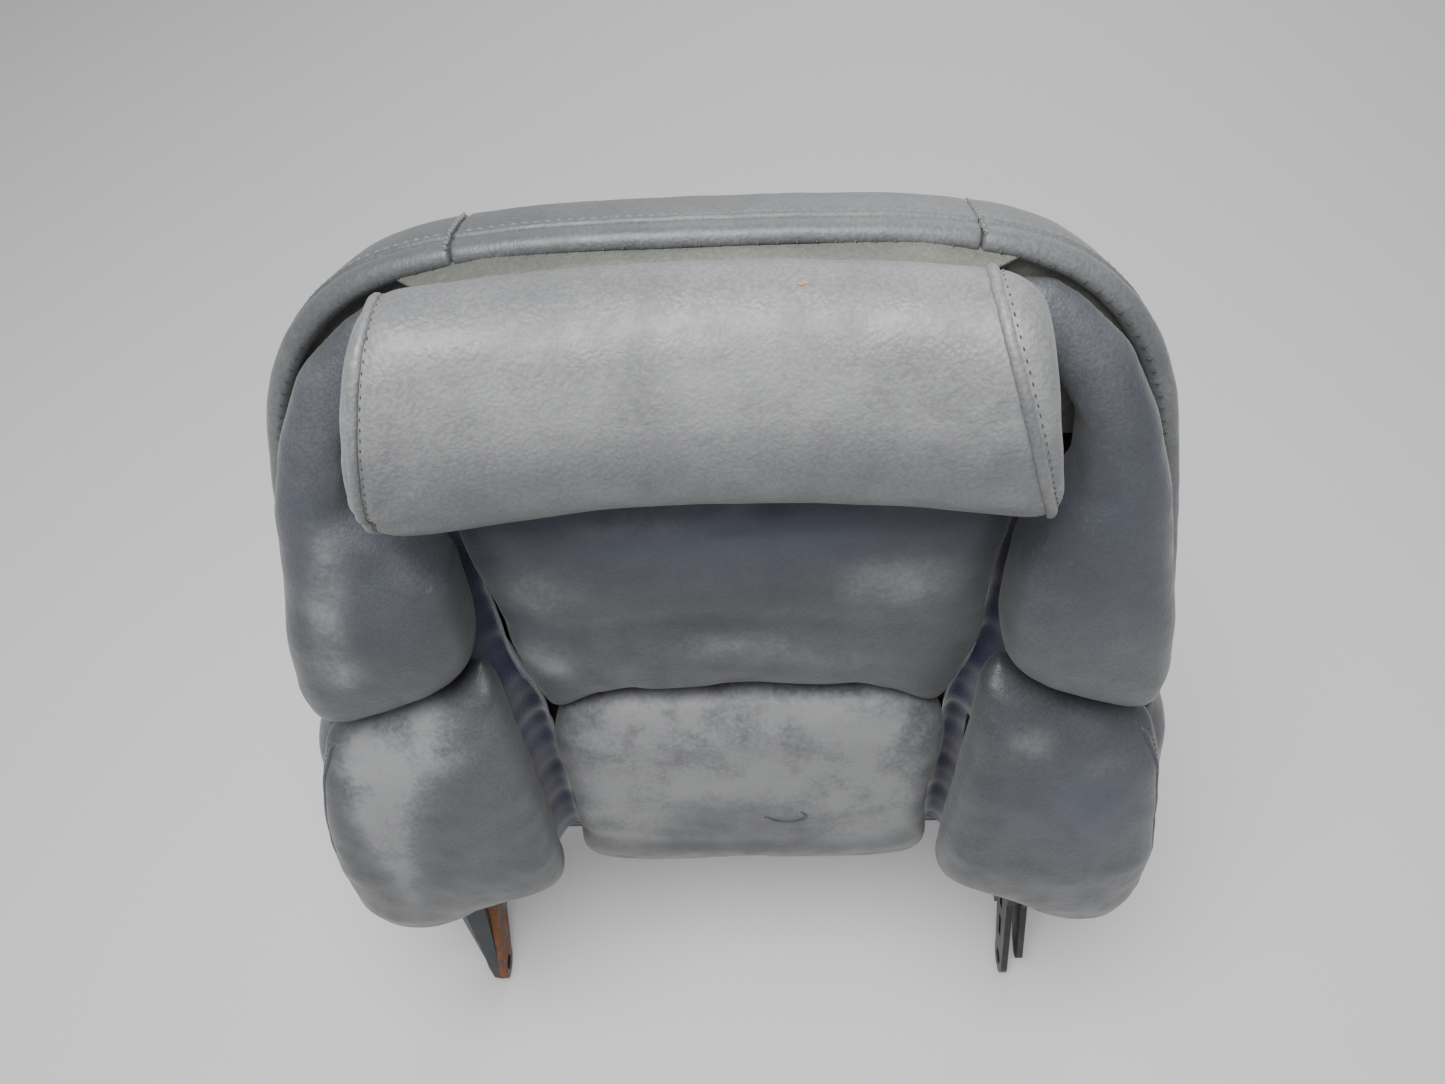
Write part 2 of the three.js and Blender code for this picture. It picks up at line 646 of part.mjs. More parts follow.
// The roll is swept from end to end: the section stands upright, the ends lean in to the top and
// come forward, and each end is rounded over.
function headrestRoll() {
  const stations = [
    [-1, 0.78],
    [-0.965, 0.93],
    [-0.9, 1],
    [-0.6, 1],
    [-0.3, 1],
    [0, 1],
    [0.3, 1],
    [0.6, 1],
    [0.9, 1],
    [0.965, 0.93],
    [1, 0.78],
  ];
  const count = 20;
  const rings = stations.map(([t, size]) => {
    const ring = [];
    for (let i = 0; i < count; i++) {
      const angle = (2 * Math.PI * (i + 0.5)) / count;
      const c = Math.cos(angle);
      const s = Math.sin(angle);
      const up = Math.sign(s) * Math.abs(s) ** (2 / ROLL_POWER);
      const out = Math.sign(c) * Math.abs(c) ** (2 / ROLL_POWER);
      const half = ROLL_HALF_BOTTOM + ((ROLL_HALF_TOP - ROLL_HALF_BOTTOM) * (up * size + 1)) / 2;
      const y = ROLL_Y - ROLL_BOW * t * t + out * ROLL_HALF_DEPTH * size;
      ring.push(new THREE.Vector3(ROLL_X + t * half, y, ROLL_Z + up * ROLL_HALF_HEIGHT * size));
    }
    return ring;
  });
  return loft(rings, (p) => new THREE.Vector2(p.y, p.z));
}
const plateY = corePlateRear - CORE_T - GAP;
const corePocket = box(-88 - GAP, 88 + GAP, plateY, 0, 618 - GAP, 672 + GAP);
const earRoom = [-TILT_EAR_X, TILT_EAR_X].map((x) => box(x - 3, x + 3, plateY, 0, 580, 640));
addPart("headrest_pad", cut(headrestRoll(), corePocket, ...earRoom), "leather");

// ---- cushions -------------------------------------------------------------------------------

// A cushion from rows of [height, inner x, outer x, front y], with one rear plane.
function cushion(rows, rearY, power, count) {
  return loft(rows.map(([z, x0, x1, front]) => roundedRing(x0, x1, front, rearY, z, power, count)));
}

// The side cushions' rows are [height, left inner x, right inner x, outer x, front y], because the
// middle cushions and the headrest are not quite centred between them. The wing and the lower
// bolster meet on a line that climbs towards the middle of the seat.
const MEETING = { slope: 0.5, x: 234, z: 402, reach: 130 };
function slanted(geometry) {
  const place = geometry.attributes.position;
  for (let i = 0; i < place.count; i++) {
    const near = Math.max(0, 1 - Math.abs(place.getZ(i) - MEETING.z) / MEETING.reach);
    const climb = MEETING.slope * Math.max(0, MEETING.x - place.getX(i));
    place.setZ(i, place.getZ(i) + climb * near);
  }
  return geometry;
}

function addSideCushions(name, rows, rearY, power, count) {
  const left = rows.map(([z, inner, , outer, front]) => [z, inner, outer, front]);
  const right = rows.map(([z, , inner, outer, front]) => [z, inner, outer, front]);
  addPart(`left_${name}`, mirrored(slanted(cushion(left, rearY, power, count))), "leather");
  addPart(`right_${name}`, slanted(cushion(right, rearY, power, count)), "leather");
}

// The wing beside the headrest and shoulders, rounded under where it laps the lower bolster.
const WING_ROWS = [
  [404, 150, 160, 224, -48],
  [409, 140, 150, 230, -62],
  [420, 133, 143, 234, -71],
  [450, 129, 139, 233, -76],
  [492, 128, 138, 226, -75],
  [530, 128, 139, 216, -70],
  [554, 144, 146, 211, -64],
  [577, 165, 158, 206, -58],
  [610, 160, 155, 195, -50],
  [640, 144, 140, 180, -40],
  [662, 124, 122, 158, -31],
  [673, 114, 113, 142, -24],
];
addSideCushions("wing_pad", WING_ROWS, LINING_FRONT_Y - GAP, 3, 18);

const BOLSTER_ROWS = [
  [140, 214, 220, 246, -50],
  [158, 186, 194, 251, -62],
  [196, 142, 154, 255, -82],
  [232, 120, 131, 256, -93],
  [290, 115, 127, 255, -96],
  [340, 117, 128, 248, -90],
  [372, 121, 131, 243, -80],
  [392, 125, 135, 237, -66],
  [400, 134, 144, 224, -50],
];
addSideCushions("bolster_pad", BOLSTER_ROWS, BOLSTER_REAR_Y, 3, 20);

// The middle cushions' rows are [height, half width, front y].
function middleCushion(rows, rearY) {
  const spans = rows.map(([z, half, front]) => [z, INSERT_X - half, INSERT_X + half, front]);
  return cushion(spans, rearY, 5, 20);
}

const UPPER_INSERT_ROWS = [
  [INSERT_SEAM_Z + 1.5, 117, -33],
  [INSERT_SEAM_Z + 10, 121, -38],
  [450, 126, -40],
  [510, 128, -39],
  [545, 128, -36],
  [INSERT_TOP_Z, 122, -26],
];
const bracketRoom = box(-140, 140, -CROSS_TUBE_R - 5, 20, UPPER_CROSS_Z - 14, 640);
const upperInsert = cut(middleCushion(UPPER_INSERT_ROWS, SEAT_REAR_Y), bracketRoom);
addPart("upper_insert_pad", upperInsert, "leather");

const LUMBAR_ROWS = [
  [INSERT_BOTTOM_Z, 107, -24],
  [INSERT_BOTTOM_Z + 12, 112, -38],
  [INSERT_BOTTOM_Z + 42, 114, -48],
  [300, 113, -51],
  [370, 114.5, -47],
  [INSERT_SEAM_Z - 1, 114.5, -38],
];
const LUMBAR_PLATE_REAR = SEAT_REAR_Y - 1;
const lumbarRear = LUMBAR_PLATE_REAR - LUMBAR_PLATE_T - GAP;
addPart("lumbar_pad", middleCushion(LUMBAR_ROWS, lumbarRear), "leather");

// ---- lumbar slide ---------------------------------------------------------------------------

const GUIDE_X = 58;
const GUIDE_R = 4;
const GUIDE_HEIGHTS = [240, 356];

// A plate behind the lumbar cushion with four pegs that slide in the carrier.
function lumbarPlate() {
  const plate = box(-92, 92, LUMBAR_PLATE_REAR - LUMBAR_PLATE_T, LUMBAR_PLATE_REAR, 220, 376);
  const pegs = [];
  for (const x of [-GUIDE_X, GUIDE_X]) {
    for (const z of GUIDE_HEIGHTS) {
      pegs.push(pegAlongY(GUIDE_R, 17, x, LUMBAR_PLATE_REAR + 7.5, z, 14));
    }
  }
  return join(plate, ...pegs);
}
addPart("lumbar_plate", lumbarPlate(), "plastic");

// The carrier: a ladder of two uprights and a rung behind the mat, with a boss round each peg.
const BOSS_FRONT_Y = 1.5;
const BOSS_R = 8;
function lumbarCarrier() {
  const rear = shellFront - 1;
  const front = MAT_Y + 2 * MAT_WIRE_R + 1;
  const pieces = [box(-GUIDE_X - 8, GUIDE_X + 8, front, rear, 290, 300)];
  const bores = [];
  const bossLength = rear - BOSS_FRONT_Y;
  for (const x of [-GUIDE_X, GUIDE_X]) {
    pieces.push(box(x - 8, x + 8, front, rear, GUIDE_HEIGHTS[0] - 10, GUIDE_HEIGHTS[1] + 10));
    for (const z of GUIDE_HEIGHTS) {
      pieces.push(pegAlongY(BOSS_R, bossLength, x, (rear + BOSS_FRONT_Y) / 2, z, 16));
      bores.push(pegAlongY(holeFor(GUIDE_R), 40, x, 0, z, HOLE_SIDES));
    }
  }
  return cut(join(...pieces), ...bores);
}
addPart("lumbar_carrier", lumbarCarrier(), "plastic");

// ---- bolster hinges -------------------------------------------------------------------------

const KNUCKLE_R = BOLSTER_PIN_R + 2.2;
const KNUCKLES = { bracketLow: [196, 226], plate: [228, 320], bracketHigh: [322, 352] };

function knuckle([z0, z1]) {
  const barrel = new THREE.CylinderGeometry(KNUCKLE_R, KNUCKLE_R, z1 - z0, 14);
  return barrel.rotateX(Math.PI / 2).translate(BOLSTER_PIVOT_X, BOLSTER_PIVOT_Y, (z0 + z1) / 2);
}

function pinHole() {
  const radius = holeFor(BOLSTER_PIN_R);
  const bore = new THREE.CylinderGeometry(radius, radius, 400, HOLE_SIDES);
  return bore.rotateX(Math.PI / 2).translate(BOLSTER_PIVOT_X, BOLSTER_PIVOT_Y, 280);
}

function bolsterBracket(span) {
  const y = BOLSTER_PIVOT_Y;
  const leaf = box(BOLSTER_PIVOT_X + 3, SIDE_PLATE_X - GAP, y - 1.2, y + 1.3, span[0], span[1]);
  return cut(join(knuckle(span), leaf), pinHole());
}

function bolsterPlate() {
  const [z0, z1] = KNUCKLES.plate;
  const rear = BOLSTER_REAR_Y + GAP + 2;
  const sheet = box(BOLSTER_PIVOT_X + 6, 249, BOLSTER_REAR_Y + GAP, rear, 190, 358);
  const wrap = box(BOLSTER_PIVOT_X - 3, BOLSTER_PIVOT_X + 8, rear - 2, rear + 4, z0, z1);
  return cut(join(knuckle([z0, z1]), sheet, wrap), pinHole());
}

const bolsterPin = new THREE.CylinderGeometry(BOLSTER_PIN_R, BOLSTER_PIN_R, 164, 14);
bolsterPin.rotateX(Math.PI / 2).translate(BOLSTER_PIVOT_X, BOLSTER_PIVOT_Y, 274);
addPair("bolster_pin", bolsterPin, "zincSteel");
addPair("bolster_bracket_lower", bolsterBracket(KNUCKLES.bracketLow), "blackSteel");
addPair("bolster_bracket_upper", bolsterBracket(KNUCKLES.bracketHigh), "blackSteel");
addPair("bolster_plate", bolsterPlate(), "blackSteel");

// The leather side panel that closes the bolster's flank, bowed out between welt and rear edge.
// Its rows are [height, x at the front, x at the rear, bulge].
function sidePanel() {
  const rows = [
    [152, 256, 266, 1],
    [190, 258, 267.5, 3],
    [240, 259, 268, 4],
    [300, 258, 267, 4],
    [345, 251, 260, 3],
    [372, 245.5, 254.5, 1],
  ];
  const rear = 12;
  const front = BOLSTER_REAR_Y - 10;
  const steps = 6;
  const rings = rows.map(([z, xFront, xRear, bulge]) => {
    const skin = (offset) =>
      Array.from({ length: steps + 1 }, (_, i) => {
        const t = i / steps;
        const x = xFront + (xRear - xFront) * t ** 0.6 + bulge * Math.sin(Math.PI * t);
        return new THREE.Vector3(x + offset, front + (rear - front) * t, z);
      });
    return [...skin(2.4), ...skin(0).reverse()];
  });
  return loft(rings);
}
addPair("bolster_side_panel", sidePanel(), "leatherDark");

// ---- cloth gussets --------------------------------------------------------------------------

// A pleated strip of cloth in the gap between the middle cushions and a side one. Its rows are
// [height, half width of the middle cushions there].
const GUSSET_ROWS = [
  [216, 113.5],
  [260, 114.5],
  [310, 114],
  [360, 115.5],
  [398, 117.5],
  [420, 125],
  [462, 128.6],
];
function gusset(side) {
  const rings = GUSSET_ROWS.map(([z, half]) => {
    const skin = (offset) =>
      [-26, -18, -11, -4].map((y, i) => {
        const x = half + offset + (i % 2) * 1.2;
        return new THREE.Vector3(INSERT_X + side * x, y, z);
      });
    return [...skin(1), ...skin(0).reverse()];
  });
  return loft(rings);
}
addPart("left_gusset", gusset(-1), "cloth");
addPart("right_gusset", gusset(1), "cloth");

export default back;
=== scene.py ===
import json
import math

import bpy
import numpy as np
from mathutils import Matrix, Vector, noise
from mathutils.bvhtree import BVHTree
from mathutils.kdtree import KDTree

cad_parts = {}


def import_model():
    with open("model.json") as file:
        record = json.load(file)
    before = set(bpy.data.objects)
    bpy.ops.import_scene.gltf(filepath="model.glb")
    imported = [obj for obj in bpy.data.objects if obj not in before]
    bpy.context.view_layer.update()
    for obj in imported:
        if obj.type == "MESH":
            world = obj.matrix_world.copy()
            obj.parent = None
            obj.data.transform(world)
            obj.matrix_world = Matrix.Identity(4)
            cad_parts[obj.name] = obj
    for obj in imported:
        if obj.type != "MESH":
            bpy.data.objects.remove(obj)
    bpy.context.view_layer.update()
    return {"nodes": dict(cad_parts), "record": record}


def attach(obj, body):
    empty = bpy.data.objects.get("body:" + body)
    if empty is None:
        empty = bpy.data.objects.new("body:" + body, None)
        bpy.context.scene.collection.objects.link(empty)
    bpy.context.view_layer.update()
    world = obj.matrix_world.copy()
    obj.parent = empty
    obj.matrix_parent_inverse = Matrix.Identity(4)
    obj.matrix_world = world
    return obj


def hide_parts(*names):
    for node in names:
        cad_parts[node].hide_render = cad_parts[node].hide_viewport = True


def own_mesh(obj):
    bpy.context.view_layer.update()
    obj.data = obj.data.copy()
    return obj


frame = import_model()

# ---- the back's own upright frame, in millimetres ------------------------------------------------
# x to the right, y to the rear, z up, as the CAD model is laid out before it leans back.

LEAN = math.radians(9)
HINGE = np.array([0.0, -29.0, 9.0])
MM = 0.001  # metres in a millimetre
MM_PER_METRE = 1000
FLOOR_Z = -0.0131  # metres, just under the eyes of the arms
TURN = np.array([
    [1, 0, 0],
    [0, math.cos(LEAN), math.sin(LEAN)],
    [0, -math.sin(LEAN), math.cos(LEAN)],
])

# Edge of the whole backrest: height and half width, from the bottom corner up.
BACK_EDGE = [
    (118, 206), (140, 240), (200, 262), (280, 264), (350, 255), (380, 249), (450, 240),
    (517, 227), (571, 214), (617, 200), (655, 177), (681, 142), (693, 88), (696, 0),
]
RIM_FOOT_Z = 138
NOTCH_Z = 380
SEAM_LEFT_X = -102
SEAM_RIGHT_X = 110
INSERT_X = 6

# The headrest roll: its centre, half depth and half height, half length along the bottom and the
# top, how far its ends bow forward, and the power of its rounded-square section.
ROLL = {
    "x": -3, "y": -55.5, "z": 647, "depth": 36, "height": 56, "bottom": 151, "top": 126, "bow": 15,
    "power": 2.3,
}


def world(points):
    """Millimetres in the back's own frame to metres in the row frame."""
    return (np.atleast_2d(points) - HINGE) @ TURN.T * MM


def local(points):
    """Metres in the row frame to millimetres in the back's own frame."""
    return np.atleast_2d(points) * MM_PER_METRE @ TURN + HINGE


# ---- mesh helpers --------------------------------------------------------------------------------


def coords(mesh):
    flat = np.empty(len(mesh.vertices) * 3)
    mesh.vertices.foreach_get("co", flat)
    return flat.reshape(-1, 3)


def normals(mesh):
    flat = np.empty(len(mesh.vertices) * 3)
    mesh.vertices.foreach_get("normal", flat)
    return flat.reshape(-1, 3)


def set_coords(mesh, points):
    mesh.vertices.foreach_set("co", np.ascontiguousarray(points).ravel())
    mesh.update()


def new_object(name, mesh):
    piece = bpy.data.objects.new(name, mesh)
    bpy.context.scene.collection.objects.link(piece)
    return piece


def dress(piece, material, body):
    """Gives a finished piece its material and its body."""
    piece.data.materials.clear()
    piece.data.materials.append(material)
    piece.data.polygons.foreach_set("use_smooth", [True] * len(piece.data.polygons))
    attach(piece, body)
    return piece


def mesh_piece(name, points, faces, material, body):
    """A piece from points in the back's own frame."""
    mesh = bpy.data.meshes.new(name)
    mesh.from_pydata(world(points).tolist(), [], faces)
    mesh.update()
    return dress(new_object(name, mesh), material, body)


def apply_modifier(piece, kind, **values):
    modifier = piece.modifiers.new(kind, kind)
    for key, value in values.items():
        setattr(modifier, key, value)
    graph = bpy.context.evaluated_depsgraph_get()
    result = bpy.data.meshes.new_from_object(piece.evaluated_get(graph))
    piece.modifiers.remove(modifier)
    piece.data = result


SHRINK_STEP = 0.6
GROW_STEP = -0.62


def relax(mesh, rounds):
    """Smooths a mesh with alternate shrinking and growing steps, which keeps its volume."""
    pairs = np.empty(len(mesh.edges) * 2, int)
    mesh.edges.foreach_get("vertices", pairs)
    a, b = pairs.reshape(-1, 2).T
    points = coords(mesh)
    share = np.bincount(a, minlength=len(points)) + np.bincount(b, minlength=len(points))
    for step in range(2 * rounds):
        total = np.stack([
            np.bincount(a, points[b, k], len(points)) + np.bincount(b, points[a, k], len(points))
            for k in range(3)], 1)
        factor = SHRINK_STEP if step % 2 == 0 else GROW_STEP
        points = points + factor * (total / share[:, None] - points)
    set_coords(mesh, points)


def catmull(points, count):
    """Points on a smooth curve through the given ones, as many in each span."""
    p = np.asarray(points, float)
    n = len(p)
    spans = n - 1
    out = []
    for t in np.linspace(0, spans, count):
        i = min(int(t), spans - 1)
        u = t - i
        b, c = p[i], p[i + 1]
        a = p[i - 1] if i > 0 else 2 * b - c
        d = p[i + 2] if i + 2 < n else 2 * c - b
        out.append(0.5 * (2 * b + (c - a) * u + (2 * a - 5 * b + 4 * c - d) * u * u
                          + (3 * b - a - 3 * c + d) * u ** 3))
    return np.array(out)


def resample(points, spacing):
    """The same path with even spacing."""
    p = np.asarray(points, float)
    steps = np.linalg.norm(np.diff(p, axis=0), axis=1)
    along = np.concatenate([[0], np.cumsum(steps)])
    count = max(int(along[-1] / spacing), 2) + 1
    targets = np.linspace(0, along[-1], count)
    return np.stack([np.interp(targets, along, p[:, k]) for k in range(3)], 1)


def smoothstep(low, high, value):
    t = np.clip((value - low) / (high - low), 0, 1)
    return t * t * (3 - 2 * t)


def grid_faces(rows, columns, wrap_columns=True):
    """Quads between rings of points, each ring with the same count."""
    faces = []
    last = columns if wrap_columns else columns - 1
    for r in range(rows - 1):
        for c in range(last):
            d = (c + 1) % columns
            near = r * columns
            far = near + columns
            faces.append((near + c, near + d, far + d, far + c))
    return faces


def wobble(points, wavelength, seed):
    """Smooth noise from about -1 to 1 at each point in millimetres."""
    shift = Vector((seed * 17.3, seed * 5.1, seed * 9.7))
    return np.array([noise.noise(Vector(p) / wavelength + shift) for p in points])


# ---- materials -----------------------------------------------------------------------------------


class Nodes:
    """A material's node tree, with short calls for the nodes used here."""

    def __init__(self, name):
        self.material = bpy.data.materials.new(name)
        self.material.use_nodes = True
        self.tree = self.material.node_tree
        self.shader = self.tree.nodes["Principled BSDF"]
        self.place = self.tree.nodes.new("ShaderNodeTexCoord").outputs["Object"]

    def link(self, a, b):
        self.tree.links.new(a, b)

    def put(self, socket, value):
        """Links an output, or sets a plain value."""
        if isinstance(value, bpy.types.NodeSocket):
            self.link(value, socket)
        else:
            socket.default_value = value

    def noise(self, scale, detail=4, roughness=0.55, distortion=0.0, at=None):
        node = self.tree.nodes.new("ShaderNodeTexNoise")
        self.link(at or self.place, node.inputs["Vector"])
        for key, value in zip(("Scale", "Detail", "Roughness", "Distortion"),
                              (scale, detail, roughness, distortion)):
            node.inputs[key].default_value = value
        return node.outputs["Fac"]

    def voronoi(self, scale, feature, at=None):
        node = self.tree.nodes.new("ShaderNodeTexVoronoi")
        node.feature = feature
        self.link(at or self.place, node.inputs["Vector"])
        node.inputs["Scale"].default_value = scale
        return node.outputs["Distance"]

    def stretched(self, scale):
        node = self.tree.nodes.new("ShaderNodeMapping")
        self.link(self.place, node.inputs["Vector"])
        node.inputs["Scale"].default_value = scale
        return node.outputs["Vector"]

    def math(self, operation, a, b):
        node = self.tree.nodes.new("ShaderNodeMath")
        node.operation = operation
        self.put(node.inputs[0], a)
        self.put(node.inputs[1], b)
        return node.outputs[0]

    def ranged(self, value, low, high, out_low=0.0, out_high=1.0):
        node = self.tree.nodes.new("ShaderNodeMapRange")
        node.interpolation_type = "SMOOTHSTEP"
        self.put(node.inputs["Value"], value)
        for key, number in zip(("From Min", "From Max", "To Min", "To Max"),
                               (low, high, out_low, out_high)):
            node.inputs[key].default_value = number
        return node.outputs["Result"]

    def mix(self, factor, a, b):
        node = self.tree.nodes.new("ShaderNodeMix")
        node.data_type = "RGBA"
        self.put(node.inputs[0], factor)
        self.put(node.inputs[6], a if isinstance(a, bpy.types.NodeSocket) else (*a, 1))
        self.put(node.inputs[7], b if isinstance(b, bpy.types.NodeSocket) else (*b, 1))
        return node.outputs[2]

    def attribute(self, name):
        node = self.tree.nodes.new("ShaderNodeAttribute")
        node.attribute_name = name
        return node.outputs["Fac"]

    def bump(self, height, strength, distance, below=None):
        node = self.tree.nodes.new("ShaderNodeBump")
        node.inputs["Strength"].default_value = strength
        node.inputs["Distance"].default_value = distance
        self.link(height, node.inputs["Height"])
        if below:
            self.link(below, node.inputs["Normal"])
        return node.outputs["Normal"]

    def finish(self, color, roughness, normal=None, metallic=0.0, sheen=0.0, coat=0.0):
        self.put(self.shader.inputs["Base Color"], color)
        self.put(self.shader.inputs["Roughness"], roughness)
        self.put(self.shader.inputs["Metallic"], metallic)
        self.shader.inputs["Sheen Weight"].default_value = sheen
        self.shader.inputs["Sheen Roughness"].default_value = 0.5
        self.shader.inputs["Coat Weight"].default_value = coat
        self.shader.inputs["Coat Roughness"].default_value = 0.4
        if normal:
            self.link(normal, self.shader.inputs["Normal"])
        return self.material


PALE_HIDE = (0.235, 0.238, 0.240)
# A dark blue that is partly the leather's own tone and partly painted shade.
BLUE_TONE_AND_SHADE = (0.068, 0.076, 0.118)
# Near-black used for painted shade.
SHADE_DARK = (0.012, 0.012, 0.013)
RUST_DARK = (0.10, 0.032, 0.012)
RUST_LIGHT = (0.33, 0.13, 0.05)
DUST_ON_PAINT = (0.13, 0.12, 0.11)
TONE_AND_SHADE_SHARE = 0.75


def leather(name, dark, light, grain=1.0, pebble=620):
    """Aged leather: pebbled grain, fine creases, patches where the colour has worn off, a painted
    highlight band, and painted shade in a dark blue and a near-black.
    """
    n = Nodes(name)
    broad = n.noise(11, 5, 0.6)
    speckle = n.noise(420, 3, 0.6)
    bent = n.mix(0.006, n.place, n.noise(70, 4, 0.6))
    cells = n.voronoi(pebble, "SMOOTH_F1", bent)
    veins = n.voronoi(150, "DISTANCE_TO_EDGE", bent)
    color = n.mix(n.ranged(broad, 0.35, 0.68), dark, light)
    color = n.mix(n.ranged(cells, 0.25, 0.62, 0.0, 0.30), color, tuple(0.45 * c for c in dark))
    color = n.mix(n.ranged(veins, 0.0, 0.05, 0.16, 0.0), color, tuple(0.5 * c for c in dark))
    color = n.mix(n.ranged(speckle, 0.55, 0.75, 0.0, 0.22), color, tuple(1.6 * c for c in light))
    # A dark blue mixed in by a point attribute: partly the leather's own tone, partly painted shade
    # under and below the headrest.
    color = n.mix(n.math("MULTIPLY", n.attribute("blue_tone_and_shade"), TONE_AND_SHADE_SHARE), color, BLUE_TONE_AND_SHADE)
    mottle = n.math("ADD", n.ranged(n.noise(36, 5, 0.55, 0.15), 0.28, 0.68, 0.52, 1.0),
                    n.ranged(n.noise(320, 4, 0.7), 0.38, 0.66, -0.12, 0.12))
    # Pale patches from a point attribute: real wear, and on the headrest a painted highlight band.
    worn_and_highlit = n.ranged(n.math("MULTIPLY", n.attribute("wear_and_highlight"), mottle), 0.06, 0.95, 0.0, 0.85)
    color = n.mix(worn_and_highlit, color, PALE_HIDE)
    scuffs = n.ranged(n.noise(1.0, 6, 0.7, 0.2, n.stretched((140, 30, 60))), 0.68, 0.76, 0.0, 0.25)
    color = n.mix(scuffs, color, PALE_HIDE)
    # Painted shade: a point attribute darkens the leather towards near-black.
    color = n.mix(n.attribute("painted_shade"), color, SHADE_DARK)
    uneven = n.math("ADD", n.math("MULTIPLY", worn_and_highlit, 0.5), n.noise(60, 4))
    roughness = n.ranged(uneven, 0.3, 1.0, 0.43, 0.78)
    normal = n.bump(veins, 0.16 * grain, 0.0012)
    normal = n.bump(cells, 0.55 * grain, 0.0005, normal)
    normal = n.bump(speckle, 0.14 * grain, 0.0004, normal)
    return n.finish(color, roughness, normal, sheen=0.12, coat=0.06)


def cloth(name, dark, light):
    """Brushed knit cloth."""
    n = Nodes(name)
    weave = n.noise(1.0, 2, 0.5, 0.0, n.stretched((1500, 1500, 700)))
    shade = n.noise(60, 5, 0.6)
    color = n.mix(n.ranged(shade, 0.3, 0.7), dark, light)
    color = n.mix(n.ranged(weave, 0.5, 0.75, 0.0, 0.5), color, tuple(1.8 * c for c in light))
    return n.finish(color, 0.95, n.bump(weave, 0.7, 0.0006), sheen=0.6)


def thread(name, color):
    """Twisted sewing thread."""
    n = Nodes(name)
    twist = n.noise(1.0, 2, 0.5, 0.0, n.stretched((1800, 900, 900)))
    return n.finish(n.mix(twist, tuple(0.5 * c for c in color), color), 0.85,
                    n.bump(twist, 0.6, 0.0003), sheen=0.3)


def plastic(name, dark, light, texture=900):
    """Grained moulded plastic with rubbed, dusty patches."""
    n = Nodes(name)
    dust = n.noise(26, 7, 0.65)
    grain = n.voronoi(texture, "SMOOTH_F1")
    color = n.mix(n.ranged(dust, 0.35, 0.75), dark, light)
    scratches = n.ranged(n.noise(1.0, 5, 0.6, 0.3, n.stretched((220, 220, 22))), 0.64, 0.7, 0.0, 0.35)
    color = n.mix(scratches, color, tuple(2.4 * c for c in light))
    return n.finish(color, n.ranged(dust, 0.3, 0.8, 0.42, 0.72), n.bump(grain, 0.35, 0.0004))


def painted_steel(name, paint, rust_from, rust_to):
    """Black paint over steel, with rust breaking through between two noise levels."""
    n = Nodes(name)
    patches = n.noise(34, 8, 0.7, 0.3)
    rust = n.ranged(patches, rust_from, rust_to)
    rust_color = n.mix(n.noise(180, 5, 0.7), RUST_DARK, RUST_LIGHT)
    dusty = n.mix(n.ranged(n.noise(14, 6), 0.4, 0.8, 0.0, 0.4), paint, DUST_ON_PAINT)
    pits = n.noise(420, 6, 0.7)
    roughness = n.ranged(rust, 0.0, 1.0, 0.38, 0.9)
    metallic = n.ranged(rust, 0.0, 1.0, 0.35, 0.05)
    normal = n.bump(pits, 0.35, 0.0006)
    return n.finish(n.mix(rust, dusty, rust_color), roughness, normal, metallic)


def bare_steel(name, color, tarnish):
    """Brushed steel with clouds of tarnish."""
    n = Nodes(name)
    cloud = n.noise(55, 7, 0.65)
    brushed = n.noise(1.0, 3, 0.5, 0.0, n.stretched((900, 900, 90)))
    shade = n.mix(n.ranged(cloud, 0.4, 0.75, 0.0, 0.7), color, tarnish)
    return n.finish(shade, n.ranged(cloud, 0.3, 0.8, 0.28, 0.6), n.bump(brushed, 0.2, 0.0002), 0.85)


HIDE = leather("hide", (0.126, 0.128, 0.131), (0.196, 0.198, 0.200))
HIDE_SMOOTH = leather("hide_smooth", (0.036, 0.039, 0.044), (0.066, 0.070, 0.077), grain=0.7, pebble=800)
HIDE_MATTE = leather("hide_matte", (0.040, 0.042, 0.047), (0.068, 0.071, 0.077), grain=0.6, pebble=900)
HIDE_RIM = leather("hide_rim", (0.070, 0.075, 0.079), (0.112, 0.117, 0.120), grain=0.6, pebble=700)
# The lining's leather is yellowish grey, made paler than the rim's as a painted highlight for the light
# that falls on its strip.
HIDE_LINING_LIT = leather(
    "hide_lining", (0.085, 0.086, 0.076), (0.14, 0.14, 0.120), grain=0.6, pebble=700)
CLOTH = cloth("gusset_cloth", (0.012, 0.011, 0.036), (0.028, 0.026, 0.080))
THREAD = thread("thread", (0.20, 0.195, 0.17))
DARK_THREAD = thread("dark_thread", (0.035, 0.033, 0.03))
BLACK_STEEL = painted_steel("black_steel", (0.018, 0.019, 0.021), rust_from=0.62, rust_to=0.72)
RUSTY_STEEL = painted_steel("rusty_steel", (0.03, 0.03, 0.032), rust_from=0.40, rust_to=0.56)
ZINC = bare_steel("zinc_steel", (0.50, 0.49, 0.46), (0.20, 0.17, 0.12))
SPRING = bare_steel("spring_steel", (0.26, 0.26, 0.27), (0.10, 0.07, 0.05))
PLASTIC = plastic("black_plastic", (0.022, 0.025, 0.029), (0.05, 0.055, 0.062))
SHELL = plastic("shell_plastic", (0.030, 0.033, 0.038), (0.055, 0.06, 0.068), texture=500)
ORANGE = thread("orange_fleck", (0.75, 0.25, 0.06))

